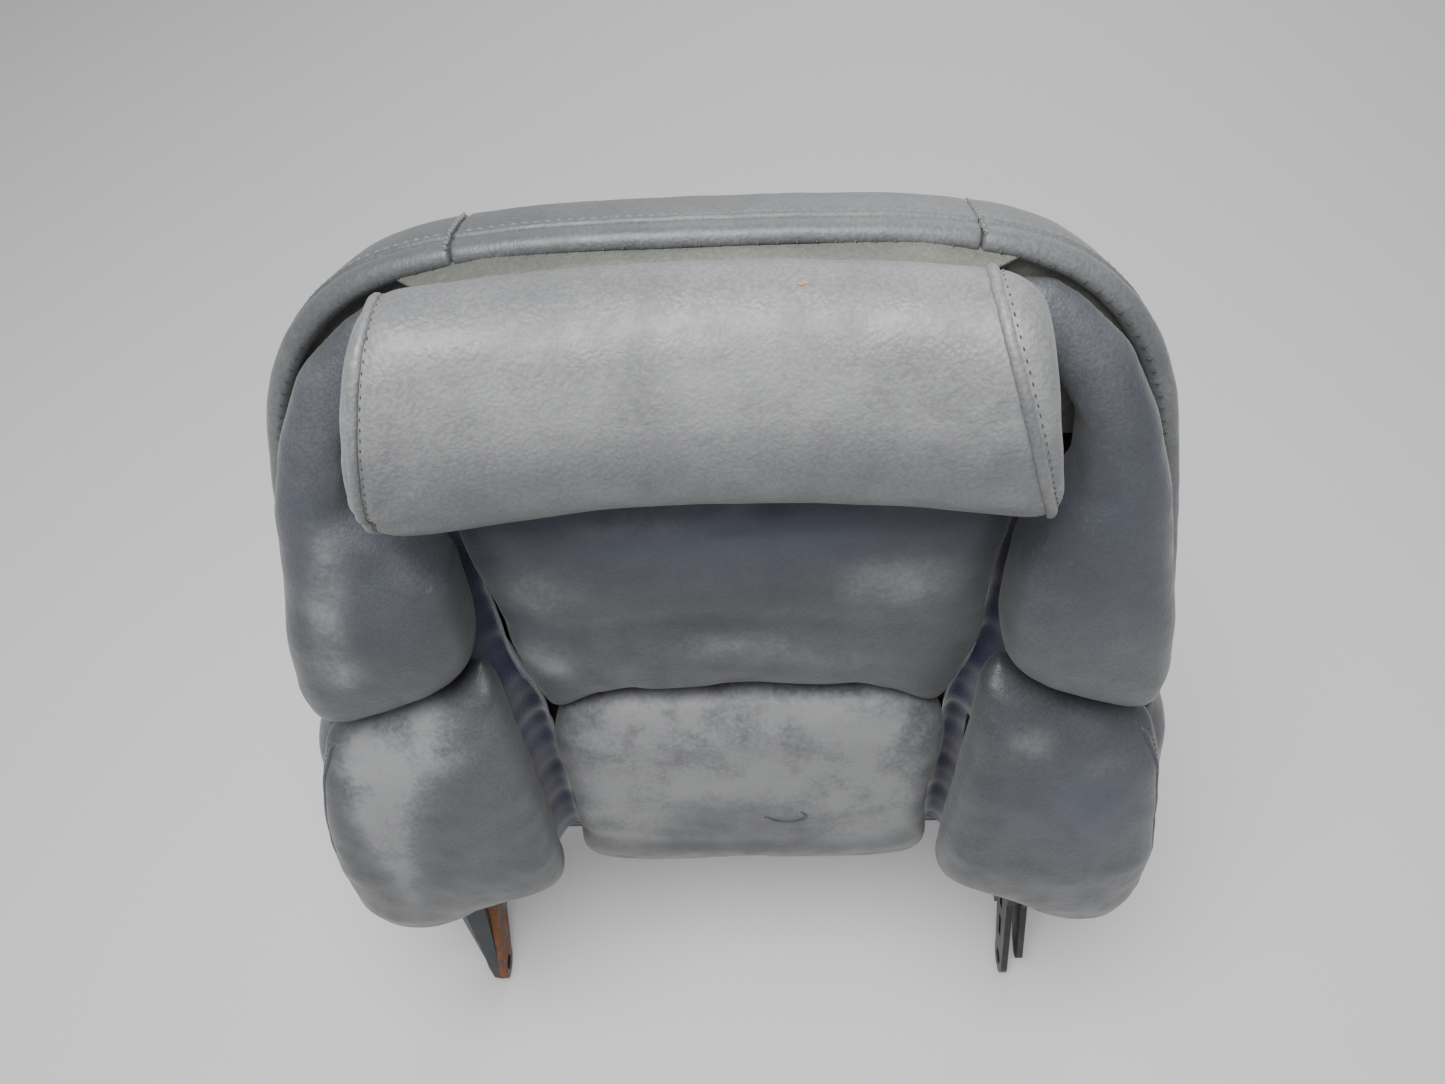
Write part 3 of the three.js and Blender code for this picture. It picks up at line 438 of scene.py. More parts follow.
SLOT_MATERIALS = {
    "leather": HIDE,
    "dark_leather": HIDE_SMOOTH,
    "gusset_cloth": CLOTH,
    "black_steel": BLACK_STEEL,
    "rusty_steel": RUSTY_STEEL,
    "zinc_steel": ZINC,
    "spring_steel": SPRING,
    "black_plastic": PLASTIC,
    "shell_plastic": SHELL,
}
for entry in frame["record"]["subparts"]:
    cad_node = frame["nodes"][entry["node"]]
    cad_node.data.materials.clear()
    cad_node.data.materials.append(SLOT_MATERIALS[entry["material_slot"]])


# ---- surface drawing on a finished pad -------------------------------------------------------------


def shade(piece, name, spots):
    """Writes a point attribute as a sum of soft spots: (centre, radii, amount), in millimetres."""
    points = local(coords(piece.data))
    total = np.zeros(len(points))
    for centre, radii, amount in spots:
        away = (points - np.array(centre)) / np.array(radii)
        total += amount * np.exp(-(away ** 2).sum(1))
    found = piece.data.attributes.get(name) or piece.data.attributes.new(name, "FLOAT", "POINT")
    found.data.foreach_set("value", np.clip(total, 0, 1).astype(np.float32))


def path_distance(points, path):
    """Distance from each point to a path, in millimetres."""
    dense = resample(path, 1.5)
    tree = KDTree(len(dense))
    for i, p in enumerate(dense):
        tree.insert(Vector(p), i)
    tree.balance()
    return np.array([tree.find(Vector(p))[2] for p in points])


def crease(piece, path, width, depth):
    """Presses a groove into a piece along a path, or raises a ridge where depth is negative."""
    points = local(coords(piece.data))
    facing = normals(piece.data) @ TURN
    away = path_distance(points, path)
    move = depth * np.exp(-(away / width) ** 2)
    set_coords(piece.data, world(points - facing * move[:, None]))


def push(piece, centre, radii, vector):
    """Moves a soft region of a piece by a vector in millimetres."""
    points = local(coords(piece.data))
    away = (points - np.array(centre)) / np.array(radii)
    fade = np.exp(-(away ** 2).sum(1))
    set_coords(piece.data, world(points + fade[:, None] * np.array(vector)))


BROAD_LUMP = 62  # wavelengths of the stuffing's unevenness
FINE_LUMP = 17


def lumpy(piece, seed, broad, fine):
    """Uneven stuffing under the cover."""
    points = local(coords(piece.data))
    facing = normals(piece.data) @ TURN
    move = broad * wobble(points, BROAD_LUMP, seed) + fine * wobble(points, FINE_LUMP, seed + 3)
    set_coords(piece.data, world(points + facing * move[:, None]))


def surface_of(piece):
    """A search tree of a piece's faces, in the back's own frame."""
    mesh = piece.data
    polygons = [tuple(p.vertices) for p in mesh.polygons]
    return BVHTree.FromPolygons(local(coords(mesh)).tolist(), polygons)


def laid_on(piece, path, lift):
    """A path moved onto a piece's surface, lift above it, with the surface normal at each point."""
    tree = surface_of(piece)
    spots = []
    facings = []
    for p in path:
        spot, facing, _, _ = tree.find_nearest(Vector(p))
        spots.append(np.array(spot) + lift * np.array(facing))
        facings.append(np.array(facing))
    return np.array(spots), np.array(facings)


def cord_mesh(path, radius, sides, flat, ups, closed=False):
    """Points and faces of a tube along a path. flat below 1 presses it towards its surface.

    ups are the directions away from the surface, one for each point.
    """
    count = len(path)
    rings = []
    for i in range(count):
        before = path[(i - 1) % count] if closed else path[max(i - 1, 0)]
        after = path[(i + 1) % count] if closed else path[min(i + 1, count - 1)]
        along = (after - before) / max(np.linalg.norm(after - before), 1e-9)
        side = np.cross(along, ups[i])
        side /= np.linalg.norm(side)
        up = np.cross(side, along)
        taper = 1.0 if closed else min(1.0, 0.35 + 0.33 * min(i, count - 1 - i))
        for k in range(sides):
            angle = 2 * math.pi * k / sides
            reach = radius * taper
            rings.append(path[i] + reach * (math.cos(angle) * side + flat * math.sin(angle) * up))
    faces = grid_faces(count, sides)
    if closed:
        last = (count - 1) * sides
        faces += [(last + k, last + (k + 1) % sides, (k + 1) % sides, k) for k in range(sides)]
    else:
        faces.append(tuple(reversed(range(sides))))
        faces.append(tuple(range((count - 1) * sides, count * sides)))
    return rings, faces


def merged(parts):
    """One set of points and faces from several."""
    points = []
    faces = []
    for part_points, part_faces in parts:
        base = len(points)
        points.extend(part_points)
        faces.extend(tuple(base + i for i in face) for face in part_faces)
    return points, faces


WELT_SPACING = 3.0
WELT_RIPPLE = 0.18
ALONG_STITCH = (-0.5, -0.25, 0, 0.25, 0.5)  # a stitch's points, as shares of its length


def welt(name, piece, path, body, radius, lift, material=None, closed=False):
    """A raised corded seam along a path on a piece."""
    spots, facings = laid_on(piece, resample(path, WELT_SPACING), lift)
    points, faces = cord_mesh(spots, radius, sides=10, flat=0.8, ups=facings, closed=closed)
    points = np.array(points)
    points += WELT_RIPPLE * wobble(points, 9, 5)[:, None]
    return mesh_piece(name, points, faces, material or HIDE_SMOOTH, body)


def stitches(name, piece, path, body, pitch=5.0, length=3.2, radius=0.42, lift=0.15, turn=0.0,
             material=None):
    """A row of thread stitches along a path on a piece. turn swings each one out of the row."""
    spots, facings = laid_on(piece, resample(path, pitch), lift)
    parts = []
    for i in range(len(spots) - 1):
        along = spots[i + 1] - spots[i]
        along /= max(np.linalg.norm(along), 1e-9)
        across = np.cross(facings[i], along)
        way = math.cos(turn) * along + math.sin(turn) * across
        middle = (spots[i] + spots[i + 1]) / 2
        dip = radius * facings[i]
        ends = [middle + way * length * t - dip * abs(t) * 2.4 for t in ALONG_STITCH]
        ups = [facings[i]] * len(ends)
        parts.append(cord_mesh(np.array(ends), radius, sides=5, flat=1.0, ups=ups))
    points, faces = merged(parts)
    return mesh_piece(name, points, faces, material or THREAD, body)


# ---- padded pieces -------------------------------------------------------------------------------


VOXEL = 5.0  # millimetres
PRESSURE = 4.0
CLOTH_FRAMES = 20
LEAST_PIN = 0.05
FILL_OUT = 0.8
LAST_ROUNDS = 5


def inflate(piece, cap, pinned):
    """Swells a closed mesh with Cloth, holding the pinned points, and moves no point past the cap."""
    start = coords(piece.data)
    modifier = piece.modifiers.new("Cloth", "CLOTH")
    settings = modifier.settings
    settings.use_pressure = True
    settings.uniform_pressure_force = PRESSURE
    settings.effector_weights.gravity = 0
    settings.tension_stiffness = 25
    settings.compression_stiffness = 8
    settings.bending_stiffness = 1.5
    if pinned is not None and pinned.any():
        group = piece.vertex_groups.new(name="held")
        for i in np.flatnonzero(pinned > LEAST_PIN):
            group.add([int(i)], float(pinned[i]), "REPLACE")
        settings.vertex_group_mass = "held"
    scene = bpy.context.scene
    for step in range(1, CLOTH_FRAMES + 1):
        scene.frame_set(step)
    graph = bpy.context.evaluated_depsgraph_get()
    end = coords(piece.evaluated_get(graph).data)
    piece.modifiers.remove(modifier)
    piece.vertex_groups.clear()
    move = end - start
    reach = np.maximum(np.linalg.norm(move, axis=1, keepdims=True), 1e-9)
    set_coords(piece.data, start + move * cap * np.tanh(reach / cap) / reach)
    scene.frame_set(1)


def hug(mesh, solid, share):
    """Draws a smoothed mesh part of the way back to the solid it came from, to refill its corners."""
    tree = BVHTree.FromPolygons(coords(solid).tolist(), [tuple(p.vertices) for p in solid.polygons])
    points = coords(mesh)
    nearest = np.array([tree.find_nearest(Vector(p))[0] for p in points])
    set_coords(mesh, points + share * (nearest - points))


def pad(node, name, rounds, shrink, cap, seams=()):
    """A crowned soft form grown from a CAD solid.

    It is smoothed for some rounds, drawn in by shrink and then inflated by up to cap, both in
    millimetres. seams are paths that stay tight.
    """
    solid = frame["nodes"][node].data
    mesh = solid.copy()
    mesh.materials.clear()
    piece = new_object(name, mesh)
    apply_modifier(piece, "REMESH", mode="VOXEL", voxel_size=VOXEL * MM)
    relax(piece.data, rounds)
    hug(piece.data, solid, FILL_OUT)
    relax(piece.data, LAST_ROUNDS)
    points = coords(piece.data)
    set_coords(piece.data, points - normals(piece.data) * shrink * MM)
    held = None
    if seams:
        here = local(coords(piece.data))
        held = np.max([1 - smoothstep(3, 9, path_distance(here, s)) for s in seams], axis=0)
    inflate(piece, cap * MM, held)
    apply_modifier(piece, "SUBSURF", levels=1)
    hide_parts(node)
    return piece


def finish_pad(piece, body, material):
    for name in ("wear_and_highlight", "blue_tone_and_shade", "painted_shade"):
        if name not in piece.data.attributes:
            shade(piece, name, [])
    dress(piece, material, body)


RING_POINTS = 40


def roll_ring(t, slant=0.0):
    """The headrest's section at a place along it, from -1 to 1, slant further out at the bottom."""
    ring = []
    for i in range(RING_POINTS):
        angle = 2 * math.pi * i / RING_POINTS
        up = math.copysign(abs(math.sin(angle)) ** (2 / ROLL["power"]), math.sin(angle))
        out = math.copysign(abs(math.cos(angle)) ** (2 / ROLL["power"]), math.cos(angle))
        half = ROLL["bottom"] + (ROLL["top"] - ROLL["bottom"]) * (up + 1) / 2
        place = t + slant * (1 - up) / 2
        y = ROLL["y"] - ROLL["bow"] * place * place + out * ROLL["depth"]
        ring.append((ROLL["x"] + place * half, y, ROLL["z"] + up * ROLL["height"]))
    return np.array(ring)


def fan(piece, corner, toward, count, length, spread, depth, width=3.0):
    """Short wrinkles that fan out of a corner."""
    toward = np.array(toward, float)
    toward /= np.linalg.norm(toward)
    for i in range(count):
        angle = spread * ((i + 0.5) / count - 0.5)
        way = np.array([
            toward[0] * math.cos(angle) - toward[2] * math.sin(angle),
            toward[1],
            toward[0] * math.sin(angle) + toward[2] * math.cos(angle),
        ])
        reach = length * (0.65 + 0.35 * math.sin(2.4 * i + 1))
        start = np.array(corner) + way * 6
        path = [start + way * reach * u + np.array([0, 0, 2.0 * math.sin(3 * u + i)]) for u in
                np.linspace(0, 1, 7)]
        crease(piece, path, width, depth)


# Where the headrest's end seams run and how far to the right of each its stitches lie, as shares
# of the half length. The right seam slants outward towards the bottom.
LEFT_END = 0.955
RIGHT_END = 0.875
RIGHT_SLANT = 0.10
STITCH_SHIFT = 0.028
left_ring = roll_ring(-LEFT_END)
right_ring = roll_ring(RIGHT_END, RIGHT_SLANT)
headrest = pad("headrest_pad", "headrest_cover", rounds=20, shrink=1.0, cap=3.5,
               seams=[left_ring, right_ring])
lumpy(headrest, 1, broad=0.7, fine=0.15)
push(headrest, (148, -50, 692), (22, 40, 28), (9, 0, 3))
push(headrest, (-158, -92, 598), (22, 50, 20), (6, 0, 5))
push(headrest, (-110, -88, 592), (50, 40, 20), (0, 0, -4))
crease(headrest, left_ring, width=4, depth=1.0)
crease(headrest, right_ring, width=4, depth=1.0)
fan(headrest, (-145, -95, 612), (1, 0, 0.5), count=6, length=46, spread=1.5, depth=0.55)
fan(headrest, (132, -92, 610), (-1, 0, 0.5), count=6, length=52, spread=1.6, depth=0.6)
# A painted highlight band across the front of the roll, and a paler spot at its right end.
shade(headrest, "wear_and_highlight", [
    ((10, -92, 668), (190, 40, 24), 0.90),
    ((150, -70, 640), (12, 40, 60), 0.35),
])
# Painted shade: the lower front and the underside of the roll are tinted darker and bluer, and the
# underside is darkened further.
shade(headrest, "blue_tone_and_shade", [
    ((10, -95, 628), (180, 30, 22), 0.22),
    ((10, -75, 594), (180, 40, 14), 0.40),
])
shade(headrest, "painted_shade", [((0, -78, 594), (190, 40, 15), 0.30)])
finish_pad(headrest, "headrest", HIDE)
for name, ring in (("left", left_ring), ("right", right_ring)):
    welt(f"headrest_{name}_welt", headrest, ring, "headrest", radius=2.3, lift=0.6, material=HIDE,
         closed=True)
for name, ring in (
    ("left", roll_ring(-LEFT_END + STITCH_SHIFT)),
    ("right", roll_ring(RIGHT_END + STITCH_SHIFT, RIGHT_SLANT)),
):
    stitches(f"headrest_{name}_stitches", headrest, ring, "headrest", pitch=4.6, length=2.6,
             material=DARK_THREAD)

# A tiny fleck of paint that has dropped on the headrest.
fleck_spot, fleck_up = laid_on(headrest, [(38, -62, 705)], 0.2)
fleck_points, fleck_faces = cord_mesh(
    fleck_spot[0] + np.array([[-2.4, 0, 0], [-0.8, -1.0, 0], [0.9, 0.6, 0], [2.2, -0.4, 0]]),
    radius=0.9, sides=6, flat=0.4, ups=[fleck_up[0]] * 4)
mesh_piece("paint_fleck", fleck_points, fleck_faces, ORANGE, "headrest")

WING_WEAR = {
    "left": [
        ((-180, -70, 557), (11, 40, 22), 0.55),
        ((-192, -70, 520), (12, 40, 26), 0.65),
        ((-198, -70, 484), (17, 40, 16), 0.80),
    ],
    "right": [((170, -50, 650), (20, 40, 20), 0.35)],
}
BOLSTER_WEAR = {
    "left": [
        ((-182, -80, 420), (34, 50, 26), 1.25),
        ((-200, -88, 382), (28, 50, 36), 1.20),
        ((-204, -88, 330), (17, 50, 38), 1.10),
        ((-206, -80, 264), (12, 40, 36), 0.70),
    ],
    "right": [
        ((162, -90, 405), (18, 40, 16), 0.50),
        ((205, -70, 385), (30, 40, 12), 0.30),
    ],
}

# The wings beside the headrest and shoulders.
for side, name in ((-1, "left"), (1, "right")):
    wing = pad(f"{name}_wing_pad", f"{name}_wing_cover", rounds=30, shrink=0.8, cap=4.5)
    if side < 0:
        push(wing, (-240, -60, 404), (26, 60, 20), (4, 0, 10))
    lumpy(wing, 4 + side, broad=1.1, fine=0.2)
    fan(wing, (side * 150, -66, 560), (side * 0.6, 0, -1), count=4, length=60, spread=1.0, depth=0.8,
        width=6)
    shade(wing, "wear_and_highlight", WING_WEAR[name])
    shade(wing, "blue_tone_and_shade", [((side * 190, -70, 560), (60, 60, 90), 0.25)])
    finish_pad(wing, "back_frame", HIDE_SMOOTH)

# The lower bolsters, each with a double seam down its outer edge: a groove on each side of a welt.
BOLSTER_SEAM = [
    (216, -44, 148), (238, -52, 158), (248, -64, 190), (251, -74, 235), (250, -76, 290),
    (244, -72, 340), (236, -64, 376), (226, -56, 392),
]
SECOND_GROOVE = 5.0  # millimetres inboard of the first
WELT_INBOARD = 2.5
STITCHES_OUTBOARD = 4.5
for side, name in ((-1, "left"), (1, "right")):
    body = f"{name}_bolster"
    bolster = pad(f"{name}_bolster_pad", f"{name}_bolster_cover", rounds=30, shrink=0.8, cap=4.5)
    push(bolster, (side * 140, -84, 195), (38, 60, 40), (side * -2, 34, 14))
    push(bolster, (side * 178, -70, 160), (30, 60, 30), (0, 12, 12))
    push(bolster, (side * 130, -60, 260), (20, 70, 90), (-4.5 if side > 0 else 3.5, 0, 0))
    lumpy(bolster, 8 + side, broad=1.2, fine=0.25)
    seam = catmull([(side * x, y, z) for x, y, z in BOLSTER_SEAM], 60)
    crease(bolster, seam, width=3.2, depth=1.3)
    inboard = seam - np.array([side * SECOND_GROOVE, 0, 0])
    crease(bolster, inboard, width=2.6, depth=0.8)
    shade(bolster, "wear_and_highlight", BOLSTER_WEAR[name])
    shade(bolster, "blue_tone_and_shade", [((side * 200, -90, 350), (50, 60, 50), 0.5 if side > 0 else 0.15)])
    # Painted shade: each bolster is darkened towards its foot, and a weaker darkening lies over its
    # middle.
    shade(bolster, "painted_shade", [
        ((side * 185, -70, 170), (70, 60, 45), 0.32), ((side * 165, -90, 280), (60, 60, 80), 0.20),
    ])
    finish_pad(bolster, body, HIDE_MATTE if side < 0 else HIDE_SMOOTH)
    welt(f"{name}_bolster_welt", bolster, seam - np.array([side * WELT_INBOARD, 0, 0]), body,
         radius=1.7, lift=0.1)
    outboard = seam + np.array([side * STITCHES_OUTBOARD, 0, 0])
    stitches(f"{name}_bolster_stitches", bolster, outboard, body, pitch=4.0, length=2.6,
             material=DARK_THREAD)

# The two middle cushions.
upper = pad("upper_insert_pad", "upper_insert_cover", rounds=16, shrink=0.6, cap=4.0)
for side in (-1, 1):
    push(upper, (INSERT_X + side * 114, -30, 408), (24, 50, 22), (side * -1, 0, -22))
    push(upper, (INSERT_X + side * 130, -30, 545), (22, 50, 60), (12 if side > 0 else -14, 0, 0))
    push(upper, (INSERT_X + side * 126, -30, 440), (22, 50, 50), (9 if side > 0 else -5, 0, 0))
lumpy(upper, 12, broad=1.1, fine=0.2)
INSERT_FOLD = [(-100, -42, 470), (-30, -46, 482), (50, -46, 478), (118, -42, 466)]
crease(upper, catmull(INSERT_FOLD, 30), width=7, depth=0.8)
shade(upper, "wear_and_highlight", [
    ((-97, -45, 503), (24, 40, 24), 0.75),
    ((-100, -45, 441), (18, 40, 20), 0.90),
    ((88, -45, 505), (36, 40, 22), 0.75),
    ((5, -45, 458), (56, 40, 16), 0.55),
    ((-40, -45, 548), (50, 40, 10), 0.45),
    ((60, -45, 440), (30, 40, 14), 0.35),
    ((6, -45, 415), (90, 40, 8), 0.25),
])
# Painted shade: the top of the cushion, under the headrest roll, is tinted darker and bluer; a weaker
# darker tint lies down its left side.
shade(upper, "blue_tone_and_shade", [
    ((0, -45, 545), (140, 40, 34), 0.85),
    ((-105, -45, 470), (24, 40, 50), 0.3),
])
finish_pad(upper, "back_frame", HIDE_MATTE)

lumbar = pad("lumbar_pad", "lumbar_cover", rounds=16, shrink=0.6, cap=4.0)
for side in (-1, 1):
    push(lumbar, (INSERT_X + side * 116, -30, 400), (26, 60, 26), (side * -7, 3, -17))
    push(lumbar, (INSERT_X + side * 116, -30, 350), (26, 60, 60), (11 if side > 0 else -6, 0, 0))
    push(lumbar, (INSERT_X + side * 112, -30, 230), (26, 60, 50), (7 if side > 0 else -4, 0, -4))
push(lumbar, (INSERT_X, -40, 200), (60, 60, 18), (0, 0, 2.5))
lumpy(lumbar, 15, broad=1.1, fine=0.2)
LUMBAR_LOW_FOLD = [(-98, -46, 226), (-40, -53, 219), (50, -53, 219), (110, -46, 226)]
LUMBAR_HIGH_FOLD = [(-100, -50, 262), (-30, -56, 255), (50, -56, 254), (112, -50, 262)]
crease(lumbar, catmull(LUMBAR_LOW_FOLD, 30), width=6, depth=1.1)
crease(lumbar, catmull(LUMBAR_HIGH_FOLD, 30), width=8, depth=0.6)
shade(lumbar, "wear_and_highlight", [
    ((-50, -52, 362), (52, 40, 42), 0.90),
    ((72, -52, 360), (54, 40, 44), 0.90),
    ((6, -48, 390), (110, 40, 16), 0.70),
    ((10, -52, 325), (80, 40, 40), 0.70),
    ((-76, -52, 290), (34, 40, 44), 0.80),
    ((88, -52, 292), (38, 40, 44), 0.85),
    ((-16, -52, 266), (60, 40, 14), 0.20),
    ((56, -52, 268), (52, 40, 14), 0.30),
])
finish_pad(lumbar, "lumbar_support", HIDE_MATTE)

# A small crescent tear in the lumbar cushion's cover, with a lifted lip.
tear = catmull([(16, -60, 291), (24, -60, 284), (34, -60, 283), (42, -60, 290), (39, -60, 297)], 24)
tear_spots, tear_up = laid_on(lumbar, tear, 0.0)
tear_points, tear_faces = cord_mesh(tear_spots, radius=0.8, sides=8, flat=0.5, ups=tear_up)
# The tear's opening is a dark cord laid on the cover: painted shade in the slit.
mesh_piece("lumbar_tear", tear_points, tear_faces, DARK_THREAD, "lumbar_support")
lip_spots, lip_up = laid_on(lumbar, tear + np.array([0, 0, 1.4]), 0.3)
lip_points, lip_faces = cord_mesh(lip_spots, radius=0.9, sides=8, flat=0.6, ups=lip_up)
mesh_piece("lumbar_tear_lip", lip_points, lip_faces, HIDE_MATTE, "lumbar_support")

# ---- rim -----------------------------------------------------------------------------------------

EDGE_SPACING = 3.0
edge_rows = [(-x, z) for z, x in BACK_EDGE] + [(x, z) for z, x in reversed(BACK_EDGE[:-1])]
edge_curve = catmull([(x, 0, z) for x, z in edge_rows], 640)
edge_path = resample(edge_curve, EDGE_SPACING)


def outward(path):
    """Unit vectors that point out of the backrest in the plane of its edge."""
    along = np.gradient(path, axis=0)
    along /= np.linalg.norm(along, axis=1, keepdims=True)
    return np.stack([-along[:, 2], np.zeros(len(path)), along[:, 0]], 1)


def rim_profile(bead):
    """(outward, y) points round the rim's section. bead is 0 to 1, the size of the rolled front."""
    return [
        (-12.0, 18.5), (-11.0, 21.5), (-9.0, 22.2), (-7.3, 20.6), (-5.2, 14.0), (-3.2, 8.0),
        (-1.7, 2.0), (-0.9, -2.5), (-0.5, -5.0), (0.5, -6.0), (0.9, -7.0), (0.6, -8.0),
        (-0.5 + 0.1 * bead, -9.0), (-0.6 + 0.5 * bead, -10.2), (-0.6 + 1.7 * bead, -12.5),
        (-0.8 + 2.6 * bead, -15.5 - 0.5 * bead), (-1.6 + 2.5 * bead, -16.6 - 2.6 * bead),
        (-3.0 + 1.4 * bead, -17.0 - 5.0 * bead), (-4.2 - 1.0 * bead, -16.8 - 6.2 * bead),
        (-4.6 - 3.6 * bead, -16.0 - 5.2 * bead), (-5.0 - 5.0 * bead, -15.0 - 3.0 * bead),
        (-5.6 - 4.0 * bead, -13.0), (-5.2, -8.0), (-5.4, 0.0), (-7.4, 8.0), (-10.4, 15.0),
    ]


SEAM_REACH = 0.46  # how far a strip's end runs on past its last ring, as a share of their spacing
SEAM_TUCK = 0.35  # how far a strip draws in at its end seams, and over what length
SEAM_WIDTH = 3.5


def rim_strip(name, keep, replaced):
    """One leather strip of the rim, swept along the part of the edge that keep chooses."""
    chosen = np.array([keep(p) for p in edge_path])
    path = edge_path[chosen]
    out = outward(edge_path)[chosen]
    path = np.concatenate([
        path[:1] + (path[:1] - path[1:2]) * SEAM_REACH, path,
        path[-1:] + (path[-1:] - path[-2:-1]) * SEAM_REACH])
    out = np.concatenate([out[:1], out, out[-1:]])
    rings = []
    for i, (p, way) in enumerate(zip(path, out)):
        # The bead starts at the notch. It is slimmest across the top and fullest at the right
        # shoulder.
        fade = smoothstep(NOTCH_Z - 12, NOTCH_Z + 22, p[2])
        puff = 0.62 + 0.38 * smoothstep(95, 175, abs(p[0]))
        puff += 0.16 * smoothstep(150, 190, p[0]) * smoothstep(520, 600, p[2])
        puff += 0.06 * noise.noise(Vector(p) / 34)
        ends = min(i, len(path) - 1 - i) * EDGE_SPACING
        tuck = SEAM_TUCK * math.exp(-(ends / SEAM_WIDTH) ** 2)
        ripple = 0.35 * noise.noise(Vector(p) / 13 + Vector((7, 1, 3)))
        for reach, y in rim_profile(fade * puff):
            rings.append(p + way * (reach - tuck + ripple) + np.array([0, y, 0]))
    columns = len(rim_profile(1))
    faces = grid_faces(len(path), columns)
    faces.append(tuple(reversed(range(columns))))
    faces.append(tuple(range((len(path) - 1) * columns, len(path) * columns)))
    strip = mesh_piece(name, rings, faces, HIDE_RIM, "back_frame")
    apply_modifier(strip, "SUBSURF", levels=1)
    dress(strip, HIDE_RIM, "back_frame")
    shade(strip, "wear_and_highlight", [((0, 0, 700), (260, 40, 14), 0.12), ((-250, 0, 440), (20, 40, 40), 0.4)])
    shade(strip, "blue_tone_and_shade", [])
    shade(strip, "painted_shade", [])
    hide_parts(*replaced)
    return strip


left_strip = rim_strip("left_rim_cover",
                       lambda p: p[0] < SEAM_LEFT_X and p[2] > RIM_FOOT_Z, ["left_rim_strip"])
right_strip = rim_strip("right_rim_cover",
                        lambda p: p[0] > SEAM_RIGHT_X and p[2] > RIM_FOOT_Z, ["right_rim_strip"])
top_strip = rim_strip("top_rim_cover", lambda p: SEAM_LEFT_X <= p[0] <= SEAM_RIGHT_X,
                      ["top_rim_strip", "rim_piping"])


def along_rim(keep, reach, y):
    """A path beside the edge, reach outward of it and at depth y, where keep is true."""
    chosen = np.array([keep(p) for p in edge_path])
    return edge_path[chosen] + outward(edge_path)[chosen] * reach + np.array([0, y, 0])


for strip, name, keep in (
    (left_strip, "left", lambda p: p[0] < SEAM_LEFT_X - 4 and p[2] > NOTCH_Z + 20),
    (top_strip, "top", lambda p: SEAM_LEFT_X + 4 < p[0] < SEAM_RIGHT_X - 4),
    (right_strip, "right", lambda p: p[0] > SEAM_RIGHT_X + 4 and p[2] > NOTCH_Z + 20),
):
    stitches(f"{name}_rim_stitches", strip, along_rim(keep, 2, -4.4), "back_frame", pitch=4.6,
             length=3.0, radius=0.45, lift=0.3)
    stitches(f"{name}_rim_seam_ticks", strip, along_rim(keep, -6, -23), "back_frame", pitch=7.5,
             length=3.0, radius=0.45, lift=0.3, turn=1.35, material=DARK_THREAD)

# The cross seams run over the part of the rim's section that shows, from behind the edge to the bead.
CROSS_SEAM_BEAD = 0.7
CROSS_SEAM_SPAN = slice(3, 17)
CROSS_SEAM_LIFT = 1
TOP_EDGE_Z = 600
OFF_THE_TOP = 999
for name, strip, seam_x in (("left", left_strip, SEAM_LEFT_X), ("right", right_strip, SEAM_RIGHT_X)):
    off_seam = np.abs(edge_path[:, 0] - seam_x)
    off_seam = off_seam + np.where(edge_path[:, 2] > TOP_EDGE_Z, 0, OFF_THE_TOP)
    at_seam = int(np.argmin(off_seam))
    way = outward(edge_path)[at_seam]
    over = [
        edge_path[at_seam] + way * (reach + CROSS_SEAM_LIFT) + np.array([0, y, 0])
        for reach, y in rim_profile(CROSS_SEAM_BEAD)[CROSS_SEAM_SPAN]
    ]
    welt(f"{name}_cross_seam_welt", strip, over, "back_frame", radius=1.3, lift=0.2,
         material=HIDE_RIM)
    stitches(f"{name}_cross_seam_stitches", strip, over, "back_frame", pitch=3.4, length=2.6,
             radius=0.45, lift=1.2, turn=1.0)

# ---- lining, flanks, gussets ---------------------------------------------------------------------


def quilted(name, rows, material, body, seed, thickness):
    """A thin leather panel from rows of points, softly puckered, with rounded edges."""
    columns = len(rows[0])
    points = np.concatenate([np.asarray(row, float) for row in rows])
    points[:, 1] += 0.5 * wobble(points, 30, seed) + 0.2 * wobble(points, 11, seed + 1)
    piece = mesh_piece(name, points, grid_faces(len(rows), columns, False), material, body)
    apply_modifier(piece, "SOLIDIFY", thickness=thickness * MM, offset=0.0)
    apply_modifier(piece, "SUBSURF", levels=1)
    dress(piece, material, body)
    for attribute in ("wear_and_highlight", "blue_tone_and_shade", "painted_shade"):
        shade(piece, attribute, [])
    return piece


